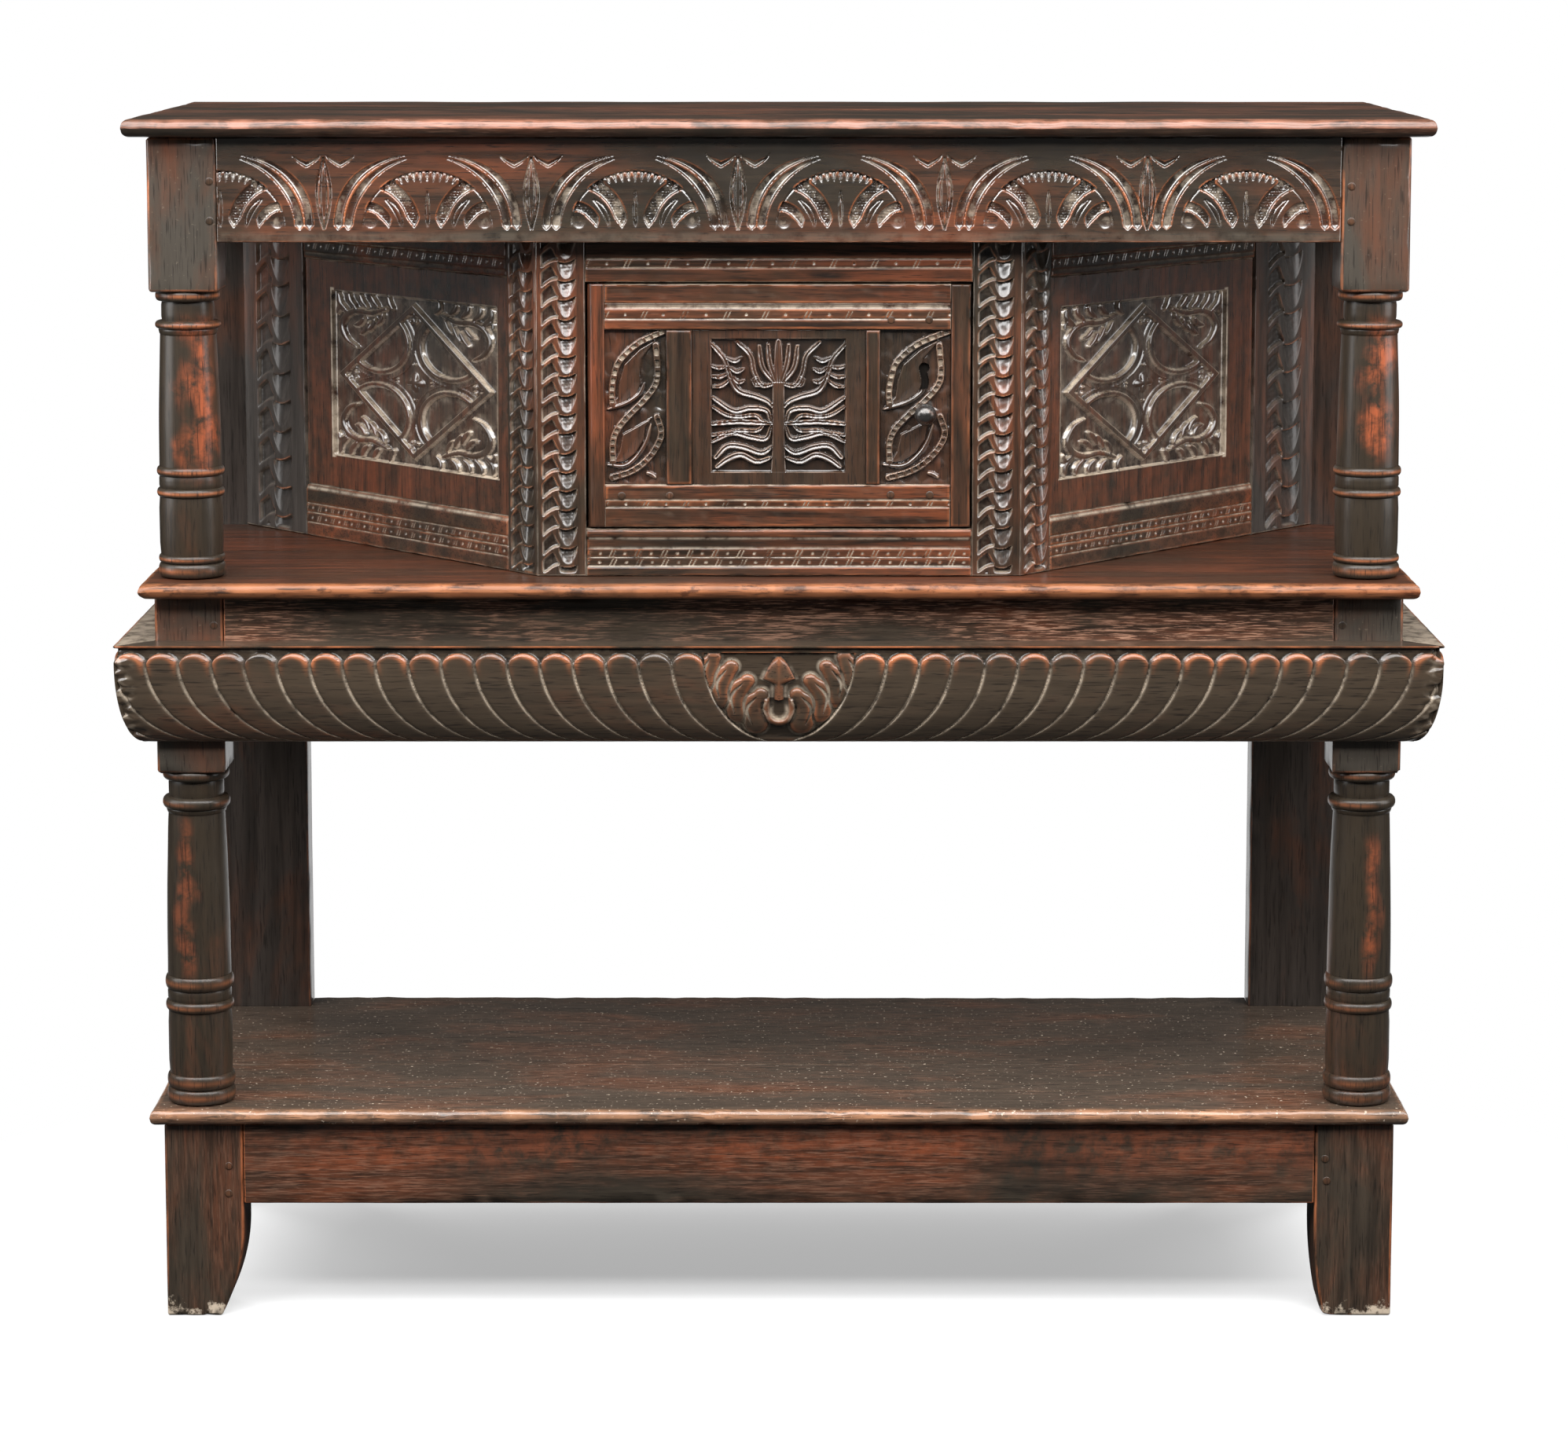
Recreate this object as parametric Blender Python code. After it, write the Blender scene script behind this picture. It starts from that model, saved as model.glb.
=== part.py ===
"""Splay-fronted oak livery cupboard: open lower stage, gadrooned waist, canted cupboard above.

Metres, +Z up. The front faces -Y and the feet stand on z = 0, with the origin under the middle.
"""
import math
from collections import defaultdict

import bmesh
import bpy
from mathutils import Matrix, Vector

# Fits
GAP = 0.0003                    # between pieces that touch, and round a tenon in its mortise
DOOR_GAP = 0.002                # round the closed door
BOLT_CLEARANCE = 0.001          # lock bolt behind the frame stile
WELD = GAP / 10                 # points closer than this are one point

# Carcass
POST_SPAN = 1.235               # over the outer faces of the posts
CARCASS_DEPTH = 0.462           # front of the front posts to the back of the rear posts
BLOCK_SIDE = 0.068              # square block on each turned pillar
REAR_POST_WIDTH = 0.102
REAR_POST_THICKNESS = 0.042
RAIL_THICKNESS = 0.024
FRIEZE_HEIGHT = 0.103
MID_RAIL_HEIGHT = 0.142
BASE_RAIL_HEIGHT = 0.083
TENON_LENGTH = 0.022
TENON_THICKNESS = 0.009
TENON_SHOULDER = 0.012          # top and bottom of a rail tenon

# Feet
FOOT_HEIGHT = 0.200
FOOT_WIDTH = 0.079
FOOT_DEPTH = 0.062
FOOT_TAPER_HEIGHT = 0.093
FOOT_TAPER = {"left": 0.024, "right": 0.010}
FOOT_CURVE = 2                  # how late the inner face of a foot turns in
FOOT_CURVE_STEPS = 6

# Boards
SHELF_THICKNESS = 0.016
SHELF_OVERHANG = 0.0125
MID_SHELF_FRONT = 0.026         # the middle shelf stands further out at the front
SHELF_ROUND = 0.006             # thumb moulding on the edges of the two shelves
TOP_THICKNESS = 0.018
TOP_OVERHANG = 0.021
TOP_ROUND = 0.007
ROUND_STEPS = 3
ROUND_PROFILE = 0.5             # a circular round
LOWER_SHELF_JOINT = 0.170       # from the post fronts back to the joint between the boards
MID_SHELF_JOINT = 0.215
TOP_JOINT = 0.235

# Turned pillars, top to bottom: shape, height, radius at the top, radius at the bottom
UPPER_TURNING = 0.2854
UPPER_BLOCK = 0.151
UPPER_MEMBERS = (
    ("bead", 0.0110, 0.0280, 0.0320),
    ("taper", 0.0195, 0.0262, 0.0262),
    ("bead", 0.0080, 0.0280, 0.0325),
    ("taper", 0.0060, 0.0295, 0.0280),
    ("shaft", None, 0.0278, 0.0310),
    ("bead", 0.0095, 0.0300, 0.0336),
    ("taper", 0.0120, 0.0316, 0.0316),
    ("bead", 0.0090, 0.0300, 0.0336),
    ("taper", 0.0575, 0.0317, 0.0317),
    ("bead", 0.0080, 0.0300, 0.0330),
    ("bead", 0.0145, 0.0295, 0.0334),
)
LOWER_TURNING = 0.3410
LOWER_BLOCK = 0.177
LOWER_MEMBERS = (
    ("bead", 0.0110, 0.0290, 0.0333),
    ("taper", 0.0170, 0.0278, 0.0278),
    ("bead", 0.0120, 0.0290, 0.0338),
    ("taper", 0.0050, 0.0305, 0.0290),
    ("shaft", None, 0.0284, 0.0320),
    ("bead", 0.0150, 0.0305, 0.0344),
    ("taper", 0.0110, 0.0322, 0.0322),
    ("bead", 0.0110, 0.0305, 0.0342),
    ("taper", 0.0640, 0.0322, 0.0322),
    ("bead", 0.0150, 0.0305, 0.0342),
    ("bead", 0.0150, 0.0305, 0.0344),
)
ENTASIS = 0.0008                # swell in the middle of a shaft
SHAFT_STEPS = 5
BEAD_STEPS = 3
TURNED_SIDES = 20
PILLAR_TENON_RADIUS = 0.011
PILLAR_TENON_LENGTH = 0.036     # through the shelf and into the piece below
BLOCK_ROOT = 0.004              # how far a turning runs up inside its block

# Gadrooned moulding round the waist
GADROON_DROP = 0.044            # from the underside of the mid shelf
GADROON_HEIGHT = 0.100
GADROON_PROJECTION = 0.036
GADROON_FOOT = 0.006            # projection left at the bottom
GADROON_FILLET = 0.008          # plain strip along the top
GADROON_PITCH = 0.0306
GADROON_DEPTH = 0.006           # valley between two lobes
GADROON_SWEEP = 0.072           # sideways run of a lobe towards the middle, on a quarter round
GADROON_SQUARENESS = 2.3        # exponent of the rounded section
GADROON_CENTRE = 0.140          # width of the plain V in the middle, at the top
GADROON_EASE = 0.5              # how soon the valleys reach their depth
GADROON_CUTS = 4                # columns in one lobe
GADROON_ROWS = 7

# Cupboard
FACE_SETBACK = 0.0275           # behind the front posts
FACE_WIDTH = 0.480
FACE_STILE = 0.0485
WALL_THICKNESS = 0.024
CANT_END_MARGIN = 0.0405        # rear end of a canted side, in from the outer face of its post
CANT_FRONT_STILE = 0.0476
CANT_REAR_STILE = 0.1137
CANT_BOTTOM_RAIL = 0.055
CANT_PANEL_HEIGHT = 0.240
FACE_BOTTOM_RAIL = 0.047
PANEL_THICKNESS = 0.008
PANEL_SETBACK = 0.003
TONGUE = 0.004                  # edge of a panel or rail inside its groove
BACK_BOARD_THICKNESS = 0.012
BACK_BOARD_SETBACK = 0.008
LOWER_BACK_BOARD = 0.180

# Door
DOOR_HEIGHT = 0.2415
DOOR_THICKNESS = 0.018
DOOR_HINGE_STILE = 0.0165
DOOR_LOCK_STILE = 0.0195
DOOR_TOP_RAIL = 0.045
DOOR_BOTTOM_RAIL = 0.042
DOOR_CENTRE = 0.172             # width of the middle panel opening
MUNTIN_LEFT = 0.0255
MUNTIN_RIGHT = 0.0140
EDGE_STEPS = 6                  # facets round the hinge edge
PIN_RADIUS = 0.0022
PIN_DEPTH = 0.018               # in the door, and again in the frame
PIN_SIDES = 12
KNOB_X = 0.1445
KNOB_BELOW_TOP = 0.1280
KNOB_RADIUS = 0.011
KNOB_NECK = 0.0055
KNOB_NECK_LENGTH = 0.005
KNOB_SHANK = 0.003
KNOB_TAIL = 0.004               # shank end behind the panel
KNOB_STEPS = 7
KNOB_SIDES = 20
LOCK_WIDTH = 0.062
LOCK_HEIGHT = 0.046
LOCK_DEPTH = 0.0135
LOCK_EDGE = 0.001               # case end to the door's edge
LOCK_BELOW_TOP = 0.0910
KEYHOLE_X = 0.1436
KEYHOLE_RADIUS = 0.0038
KEYHOLE_SLOT = 0.0042
KEYHOLE_LENGTH = 0.022
KEYHOLE_SIDES = 16
BOLT_LENGTH = 0.048
BOLT_HEIGHT = 0.012
BOLT_THICKNESS = 0.004

# Worked out from the sizes above
FRONT = (GADROON_PROJECTION - CARCASS_DEPTH) / 2
BACK = FRONT + CARCASS_DEPTH
HALF = POST_SPAN / 2
BLOCK_INNER = HALF - BLOCK_SIDE
FOOT_INNER = HALF - FOOT_WIDTH
REAR_INNER = HALF - REAR_POST_WIDTH
REAR_FACE = BACK - REAR_POST_THICKNESS
PILLAR_X = HALF - BLOCK_SIDE / 2
PILLAR_Y = FRONT + BLOCK_SIDE / 2
LOWER_SHELF_Z = FOOT_HEIGHT + GAP
LOWER_PILLAR_Z = LOWER_SHELF_Z + SHELF_THICKNESS + GAP
MID_SHELF_Z = LOWER_PILLAR_Z + LOWER_TURNING + LOWER_BLOCK + GAP
MID_FLOOR = MID_SHELF_Z + SHELF_THICKNESS + GAP
TOP_Z = MID_FLOOR + UPPER_TURNING + UPPER_BLOCK + GAP
CEILING = TOP_Z - GAP
WAIST_Z = MID_SHELF_Z - GAP
FRIEZE_Z = CEILING - FRIEZE_HEIGHT
FACE_Y = FRONT + FACE_SETBACK
FACE_HALF = FACE_WIDTH / 2
OPENING_HALF = FACE_HALF - FACE_STILE
DOOR_HALF = OPENING_HALF - DOOR_GAP
DOOR_Z = MID_FLOOR + FACE_BOTTOM_RAIL + DOOR_GAP
DOOR_TOP = DOOR_Z + DOOR_HEIGHT
DOOR_BACK = FACE_Y + DOOR_THICKNESS
EDGE_RADIUS = DOOR_THICKNESS / 2
HINGE_X = EDGE_RADIUS - DOOR_HALF
HINGE_Y = FACE_Y + EDGE_RADIUS
LOCK_Z = DOOR_TOP - LOCK_BELOW_TOP
KNOB_Z = DOOR_TOP - KNOB_BELOW_TOP
BOLT_Y = FACE_Y + WALL_THICKNESS + BOLT_CLEARANCE

# The canted side runs from the front corner of the cupboard back to the rear post
CANT_RUN = HALF - CANT_END_MARGIN - FACE_HALF
CANT_RISE = REAR_FACE - GAP - FACE_Y
CANT_LENGTH = math.hypot(CANT_RUN, CANT_RISE)
CANT_ANGLE = math.atan2(CANT_RISE, CANT_RUN)

SMOOTH_ANGLE = math.radians(40)
OAK_ROUGHNESS = 0.42
IRON_ROUGHNESS = 0.50
OAK = (0.050, 0.030, 0.018)
OAK_WORN = (0.085, 0.048, 0.026)
OAK_DARK = (0.030, 0.020, 0.014)
IRON = (0.022, 0.020, 0.019)

sockets = defaultdict(list)     # boxes and pins to cut out of a named piece


def clear_scene():
    for thing in list(bpy.data.objects):
        bpy.data.objects.remove(thing, do_unlink=True)


def finish_material(name, colour, roughness, metallic):
    material = bpy.data.materials.new(name)
    material.use_nodes = True
    shader = material.node_tree.nodes["Principled BSDF"]
    shader.inputs["Base Color"].default_value = (*colour, 1.0)
    shader.inputs["Roughness"].default_value = roughness
    shader.inputs["Metallic"].default_value = metallic
    return material


def oak(name, colour=OAK):
    return finish_material(name, colour, OAK_ROUGHNESS, 0.0)


def iron(name):
    return finish_material(name, IRON, IRON_ROUGHNESS, 1.0)


def add_prism(mesh, outline, low, high):
    """Add a closed prism over a plan outline, between two heights."""
    base = [mesh.verts.new((x, y, low)) for x, y in outline]
    face = mesh.faces.new(base)
    grown = bmesh.ops.extrude_face_region(mesh, geom=[face])["geom"]
    top = [part for part in grown if isinstance(part, bmesh.types.BMVert)]
    bmesh.ops.translate(mesh, vec=(0, 0, high - low), verts=top)


def add_box(mesh, low, high):
    outline = ((low[0], low[1]), (high[0], low[1]), (high[0], high[1]), (low[0], high[1]))
    add_prism(mesh, outline, low[2], high[2])


def add_turning(mesh, profile, place, sides):
    """Spin a profile of (radius, height) points, listed from one end to the other, about Z."""
    ends = [(0.0, profile[0][1])] + list(profile) + [(0.0, profile[-1][1])]
    verts = [mesh.verts.new((radius, 0, height)) for radius, height in ends]
    edges = [mesh.edges.new(pair) for pair in zip(verts, verts[1:])]
    bmesh.ops.spin(mesh, geom=verts + edges, cent=(0, 0, 0), axis=(0, 0, 1),
                   angle=math.tau, steps=sides, use_merge=True)
    bmesh.ops.remove_doubles(mesh, verts=mesh.verts, dist=WELD)
    bmesh.ops.transform(mesh, matrix=place, verts=mesh.verts)


def mesh_object(name, fill):
    """Make a mesh object out of what fill(mesh) adds, with its faces turned outwards."""
    mesh = bmesh.new()
    fill(mesh)
    bmesh.ops.recalc_face_normals(mesh, faces=mesh.faces)
    data = bpy.data.meshes.new(name)
    mesh.to_mesh(data)
    mesh.free()
    thing = bpy.data.objects.new(name, data)
    bpy.context.scene.collection.objects.link(thing)
    return thing


def combine(thing, tools, operation):
    """Add or cut closed shapes, each given as a fill function."""
    for fill in tools:
        tool = mesh_object("tool", fill)
        modifier = thing.modifiers.new("joinery", "BOOLEAN")
        modifier.operation = operation
        modifier.object = tool
        seen = thing.evaluated_get(bpy.context.evaluated_depsgraph_get())
        shaped = bpy.data.meshes.new_from_object(seen)
        thing.modifiers.clear()
        thing.data = shaped
        bpy.data.objects.remove(tool, do_unlink=True)
    thing.data.name = thing.name


def piece(name, fill, material, added=(), parent=None, smooth=False):
    """Make one named piece: its shape, what is added to it, and the sockets cut in it."""
    thing = mesh_object(name, fill)
    combine(thing, added, "UNION")
    combine(thing, sockets[name], "DIFFERENCE")
    thing.data.materials.clear()
    thing.data.materials.append(material)
    if smooth:
        thing.data.shade_smooth()
        thing.data.set_sharp_from_angle(angle=SMOOTH_ANGLE)
    if parent is None:
        settle(thing)
    else:
        thing.parent = parent
        thing.matrix_parent_inverse = Matrix()
    return thing


def settle(thing):
    """Put the origin of a fixed piece in the middle of its own box."""
    corners = [Vector(corner) for corner in thing.bound_box]
    middle = sum(corners, Vector()) / len(corners)
    thing.data.transform(Matrix.Translation(-middle))
    thing.location = middle


def box_fill(low, high):
    return lambda mesh: add_box(mesh, low, high)


def prism_fill(outline, low, high):
    return lambda mesh: add_prism(mesh, outline, low, high)


def turning_fill(profile, place, sides):
    return lambda mesh: add_turning(mesh, profile, place, sides)


def grown_box(low, high, by=GAP):
    return box_fill([value - by for value in low], [value + by for value in high])


def mirrored(side):
    return -1 if side == "left" else 1


def sided_box(sign, low, high):
    """A box given for the right-hand side, mirrored to the left where sign is -1."""
    if sign > 0:
        return list(low), list(high)
    return [-high[0], low[1], low[2]], [-low[0], high[1], high[2]]


def tenoned_rail(name, axis, low, high, hosts, material):
    """A rail with a shouldered tenon at each end, and the mortises for it in its two hosts."""
    across = 1 - axis
    tenons = []
    for host, end, step in ((hosts[0], low[axis], -1), (hosts[1], high[axis], 1)):
        middle = (low[across] + high[across]) / 2
        first, last = list(low), list(high)
        first[across] = middle - TENON_THICKNESS / 2
        last[across] = middle + TENON_THICKNESS / 2
        first[2] += TENON_SHOULDER
        last[2] -= TENON_SHOULDER
        first[axis], last[axis] = sorted((end - step * TENON_SHOULDER, end + step * TENON_LENGTH))
        tenons.append(box_fill(first, last))
        sockets[host].append(grown_box(first, last))
    piece(name, box_fill(low, high), material, tenons)


def rail_ring(stage, low_z, high_z, front_inner, front_depth, hosts):
    """Front, rear and two side rails of one stage, tenoned between its posts."""
    tint = OAK_DARK if stage == "frieze" else OAK
    front_left, front_right = hosts
    tenoned_rail(f"{stage}_rail_front", 0,
                 (GAP - front_inner, FRONT, low_z),
                 (front_inner - GAP, FRONT + RAIL_THICKNESS, high_z),
                 (front_left, front_right), oak(f"{stage}_front_oak", tint))
    tenoned_rail(f"{stage}_rail_rear", 0,
                 (GAP - REAR_INNER, BACK - RAIL_THICKNESS, low_z),
                 (REAR_INNER - GAP, BACK, high_z),
                 ("rear_post_left", "rear_post_right"), oak(f"{stage}_rear_oak"))
    for side, front_host in (("left", front_left), ("right", front_right)):
        low, high = sided_box(mirrored(side),
                              (HALF - RAIL_THICKNESS, FRONT + front_depth + GAP, low_z),
                              (HALF, REAR_FACE - GAP, high_z))
        tenoned_rail(f"{stage}_rail_{side}", 1, low, high,
                     (front_host, f"rear_post_{side}"), oak(f"{stage}_{side}_oak"))


def turned_profile(members, height):
    """Points of a turning from the tip of its round tenon up into its block."""
    fixed = sum(member[1] for member in members if member[1])
    level = height
    downward = [(members[0][2], height + BLOCK_ROOT), (members[0][2], height)]
    for shape, tall, top, bottom in members:
        tall = tall or height - fixed
        if shape == "bead":
            for step in range(BEAD_STEPS + 1):
                angle = math.pi * step / BEAD_STEPS
                swell = (bottom - top) * math.sin(angle)
                downward.append((top + swell, level - tall * (1 - math.cos(angle)) / 2))
        elif shape == "shaft":
            for step in range(SHAFT_STEPS + 1):
                part = step / SHAFT_STEPS
                swell = ENTASIS * math.sin(math.pi * part)
                downward.append((top + (bottom - top) * part + swell, level - tall * part))
        else:
            downward.append((top, level))
            downward.append((bottom, level - tall))
        level -= tall
    downward.append((PILLAR_TENON_RADIUS, 0.0))
    downward.append((PILLAR_TENON_RADIUS, -PILLAR_TENON_LENGTH))
    kept = [downward[0]]
    for point in downward[1:]:
        if math.dist(point, kept[-1]) > GAP:
            kept.append(point)
    return kept[::-1]


def pillar_hole(place_z, side):
    """The bored hole that a pillar's round tenon passes through."""
    low = place_z - PILLAR_TENON_LENGTH - GAP
    high = place_z + GAP
    radius = PILLAR_TENON_RADIUS + GAP
    place = Matrix.Translation((mirrored(side) * PILLAR_X, PILLAR_Y, 0))
    return turning_fill(((radius, low), (radius, high)), place, TURNED_SIDES)


def pillar(stage, side, members, place_z, turning, block):
    name = f"{stage}_pillar_{side}"
    sign = mirrored(side)
    place = Matrix.Translation((sign * PILLAR_X, PILLAR_Y, place_z))
    low, high = sided_box(sign, (BLOCK_INNER, FRONT, place_z + turning),
                          (HALF, FRONT + BLOCK_SIDE, place_z + turning + block))
    piece(name, box_fill(low, high), oak(f"{name}_oak", OAK_WORN),
          [turning_fill(turned_profile(members, turning), place, TURNED_SIDES)], smooth=True)


def front_foot(side):
    """A foot whose inner face curves in towards the floor, as wear has left it."""
    name = f"front_foot_{side}"
    sign = mirrored(side)
    outline = [(HALF, 0.0), (HALF, FOOT_HEIGHT), (FOOT_INNER, FOOT_HEIGHT)]
    for step in range(FOOT_CURVE_STEPS + 1):
        part = step / FOOT_CURVE_STEPS
        outline.append((FOOT_INNER + FOOT_TAPER[side] * part ** FOOT_CURVE,
                        FOOT_TAPER_HEIGHT * (1 - part)))
    stand = Matrix.Translation((0, FRONT, 0)) @ Matrix.Rotation(math.pi / 2, 4, "X")

    def fill(mesh):
        add_prism(mesh, [(sign * x, z) for x, z in outline], -FOOT_DEPTH, 0.0)
        bmesh.ops.transform(mesh, matrix=stand, verts=mesh.verts)

    sockets[name].append(pillar_hole(LOWER_PILLAR_Z, side))
    piece(name, fill, oak(f"{name}_oak", OAK_WORN))


def rear_post(side):
    low, high = sided_box(mirrored(side), (REAR_INNER, REAR_FACE, 0.0), (HALF, BACK, CEILING))
    name = f"rear_post_{side}"
    piece(name, box_fill(low, high), oak(f"{name}_oak"))


def round_edges(mesh, keep, radius):
    """Round the level edges that keep(point) accepts at both ends."""
    chosen = [edge for edge in mesh.edges
              if all(keep(vert.co) for vert in edge.verts)
              and abs(edge.verts[0].co.z - edge.verts[1].co.z) < GAP]
    bmesh.ops.bevel(mesh, geom=chosen, offset=radius, segments=ROUND_STEPS, profile=ROUND_PROFILE,
                    affect="EDGES", clamp_overlap=True)


def board_pair(name, low_z, thickness, overhang, front_overhang, joint, radius, notched):
    """Two boards side by side, with moulded front and side edges, let in round the rear posts."""
    edge = HALF + overhang
    front = FRONT - front_overhang
    meet = FRONT + joint
    inner = REAR_INNER - GAP
    shoulder = REAR_FACE - GAP
    if notched:
        rear = [(-edge, meet + GAP), (edge, meet + GAP), (edge, shoulder), (inner, shoulder),
                (inner, BACK), (-inner, BACK), (-inner, shoulder), (-edge, shoulder)]
    else:
        rear = [(-edge, meet + GAP), (edge, meet + GAP), (edge, BACK), (-edge, BACK)]
    fore = [(-edge, front), (edge, front), (edge, meet), (-edge, meet)]

    def moulded(outline):
        def outer(point):
            return abs(point.x) > edge - GAP or point.y < front + GAP

        def fill(mesh):
            add_prism(mesh, outline, low_z, low_z + thickness)
            round_edges(mesh, outer, radius)

        return fill

    piece(f"{name}_front", moulded(fore), oak(f"{name}_front_oak", OAK_WORN))
    piece(f"{name}_rear", moulded(rear), oak(f"{name}_rear_oak", OAK_WORN))


def gadroon_stand(along, drop, centre):
    """How far the moulding stands out at one point of its face."""
    part = max(0.0, (drop - GADROON_FILLET) / (GADROON_HEIGHT - GADROON_FILLET))
    round_in = max(0.0, 1 - part ** GADROON_SQUARENESS) ** (1 / GADROON_SQUARENESS)
    stand = GADROON_FOOT + (GADROON_PROJECTION - GADROON_FOOT) * round_in
    if part <= 0.0 or part >= 1.0:
        return stand
    inward = abs(along) + GADROON_SWEEP * (1 - math.sqrt(1 - part ** 2))
    start = centre / 2
    if inward < start:
        return stand
    phase = ((inward - start) / GADROON_PITCH) % 1.0
    lobe = math.sqrt(max(0.0, 1 - (2 * phase - 1) ** 2))
    ease = math.sin(math.pi * part) ** GADROON_EASE
    return stand - GADROON_DEPTH * (1 - lobe) * ease


def gadroon_moulding(name, length, centre, mitres, place):
    """A swept moulding with carved lobes; along runs in X, the face looks along -Y."""
    columns = max(2, round(length / GADROON_PITCH * GADROON_CUTS))
    drops = [0.0, GADROON_FILLET]
    for row in range(1, GADROON_ROWS + 1):
        angle = math.pi / 2 * row / GADROON_ROWS
        drops.append(GADROON_FILLET + (GADROON_HEIGHT - GADROON_FILLET) * math.sin(angle))

    def fill(mesh):
        rings = []
        for column in range(columns + 1):
            share = column / columns
            along = share * length - (length / 2 if centre else 0.0)
            section = [(GAP, GADROON_HEIGHT), (GAP, 0.0)]
            section += [(gadroon_stand(along, drop, centre), drop) for drop in drops]
            ring = []
            for stand, drop in section:
                left = -length / 2 - stand * mitres[0]
                right = length / 2 + stand * mitres[1]
                ring.append(mesh.verts.new((left + (right - left) * share, -stand, -drop)))
            rings.append(ring)
        for ring, following in zip(rings, rings[1:]):
            for corner in range(len(ring)):
                after = (corner + 1) % len(ring)
                mesh.faces.new((ring[corner], ring[after], following[after], following[corner]))
        mesh.faces.new(rings[0])
        mesh.faces.new(rings[-1])
        bmesh.ops.transform(mesh, matrix=place, verts=mesh.verts)

    piece(name, fill, oak(f"{name}_oak"), smooth=True)


def waist_moulding():
    """The gadrooned moulding across the front, mitred to a return along each side."""
    top = WAIST_Z - GADROON_DROP
    gadroon_moulding("gadroon_moulding_front", POST_SPAN - GAP, GADROON_CENTRE, (1, 1),
                     Matrix.Translation((0, FRONT, top)))
    for side in ("left", "right"):
        sign = mirrored(side)
        turn = Matrix.Rotation(sign * math.pi / 2, 4, "Z")
        middle = Matrix.Translation((sign * HALF, (FRONT + BACK) / 2, top))
        mitres = (1, 0) if sign > 0 else (0, 1)
        shift = Matrix.Translation((sign * GAP / 2, 0, 0))
        gadroon_moulding(f"gadroon_moulding_{side}", CARCASS_DEPTH - GAP, 0.0, mitres,
                         middle @ turn @ shift)


def framed_panel(name, low, high, hosts, material, parent=None):
    """A panel whose edges run into grooves in the pieces round it; sizes are of the opening."""
    first = [low[0] - TONGUE, low[1], low[2] - TONGUE]
    last = [high[0] + TONGUE, high[1], high[2] + TONGUE]
    for host in hosts:
        sockets[host].append(grown_box(first, last))
    piece(name, box_fill(first, last), material, parent=parent)


def tongued_rail(name, low, high, axis, hosts, material, parent=None):
    """A door or side rail with a stub tongue at each end, in line with the panels."""
    tongue_low, tongue_high = list(low), list(high)
    tongue_low[axis] -= TONGUE
    tongue_high[axis] += TONGUE
    tongue_low[1] += PANEL_SETBACK
    tongue_high[1] = tongue_low[1] + PANEL_THICKNESS
    for step in (0, 2):
        if step != axis:
            tongue_low[step] += TONGUE
            tongue_high[step] -= TONGUE
    for host in hosts:
        sockets[host].append(grown_box(tongue_low, tongue_high))
    return piece(name, box_fill(low, high), material, [box_fill(tongue_low, tongue_high)], parent)


def canted_side(side):
    """Frame and panel that runs back at an angle; local X along the wall, local Y into it."""
    sign = mirrored(side)
    frame = bpy.data.objects.new(f"canted_{side}_frame", None)
    bpy.context.scene.collection.objects.link(frame)
    frame.location = (sign * FACE_HALF, FACE_Y, 0)
    turn = CANT_ANGLE if sign > 0 else math.pi - CANT_ANGLE
    frame.rotation_euler = (0, 0, turn)
    lean = 1 if sign > 0 else -1
    top, floor = CEILING, MID_FLOOR
    panel_low = floor + CANT_BOTTOM_RAIL
    panel_high = panel_low + CANT_PANEL_HEIGHT
    inner_front = CANT_FRONT_STILE
    inner_rear = CANT_LENGTH - CANT_REAR_STILE
    mitre = WALL_THICKNESS * math.tan(CANT_ANGLE / 2)
    rear_cut = WALL_THICKNESS / math.tan(CANT_ANGLE)

    def across(low, high):
        if lean > 0:
            return low, high
        return (low[0], -high[1], low[2]), (high[0], -low[1], high[2])

    def flat(points):
        return [(x, lean * y) for x, y in points]

    def tone(part):
        return oak(f"canted_{side}_{part}_oak", OAK_DARK)

    stile_front = f"canted_{side}_stile_front"
    stile_rear = f"canted_{side}_stile_rear"
    rail_top = f"canted_{side}_rail_top"
    rail_bottom = f"canted_{side}_rail_bottom"
    low, high = across((inner_front, PANEL_SETBACK, panel_low),
                       (inner_rear, PANEL_SETBACK + PANEL_THICKNESS, panel_high))
    framed_panel(f"canted_{side}_panel", low, high,
                 (stile_front, stile_rear, rail_top, rail_bottom), tone("panel"), frame)
    for name, first, last in ((rail_bottom, floor, panel_low), (rail_top, panel_high, top)):
        low, high = across((inner_front + GAP, 0, first), (inner_rear - GAP, WALL_THICKNESS, last))
        tenon_low, tenon_high = across(
            (inner_front - TONGUE, (WALL_THICKNESS - TENON_THICKNESS) / 2 + TONGUE,
             first + TENON_SHOULDER),
            (inner_rear + TONGUE, (WALL_THICKNESS + TENON_THICKNESS) / 2 + TONGUE,
             last - TENON_SHOULDER))
        for host in (stile_front, stile_rear):
            sockets[host].append(grown_box(tenon_low, tenon_high))
        piece(name, box_fill(low, high), tone(name), [box_fill(tenon_low, tenon_high)], frame)
    piece(stile_front, prism_fill(flat([(GAP, 0), (inner_front, 0), (inner_front, WALL_THICKNESS),
                                        (mitre + GAP, WALL_THICKNESS)]), floor, top),
          tone("stile_front"), parent=frame)
    piece(stile_rear, prism_fill(flat([(inner_rear, 0), (CANT_LENGTH, 0),
                                       (CANT_LENGTH - rear_cut, WALL_THICKNESS),
                                       (inner_rear, WALL_THICKNESS)]), floor, top),
          tone("stile_rear"), parent=frame)


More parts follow.
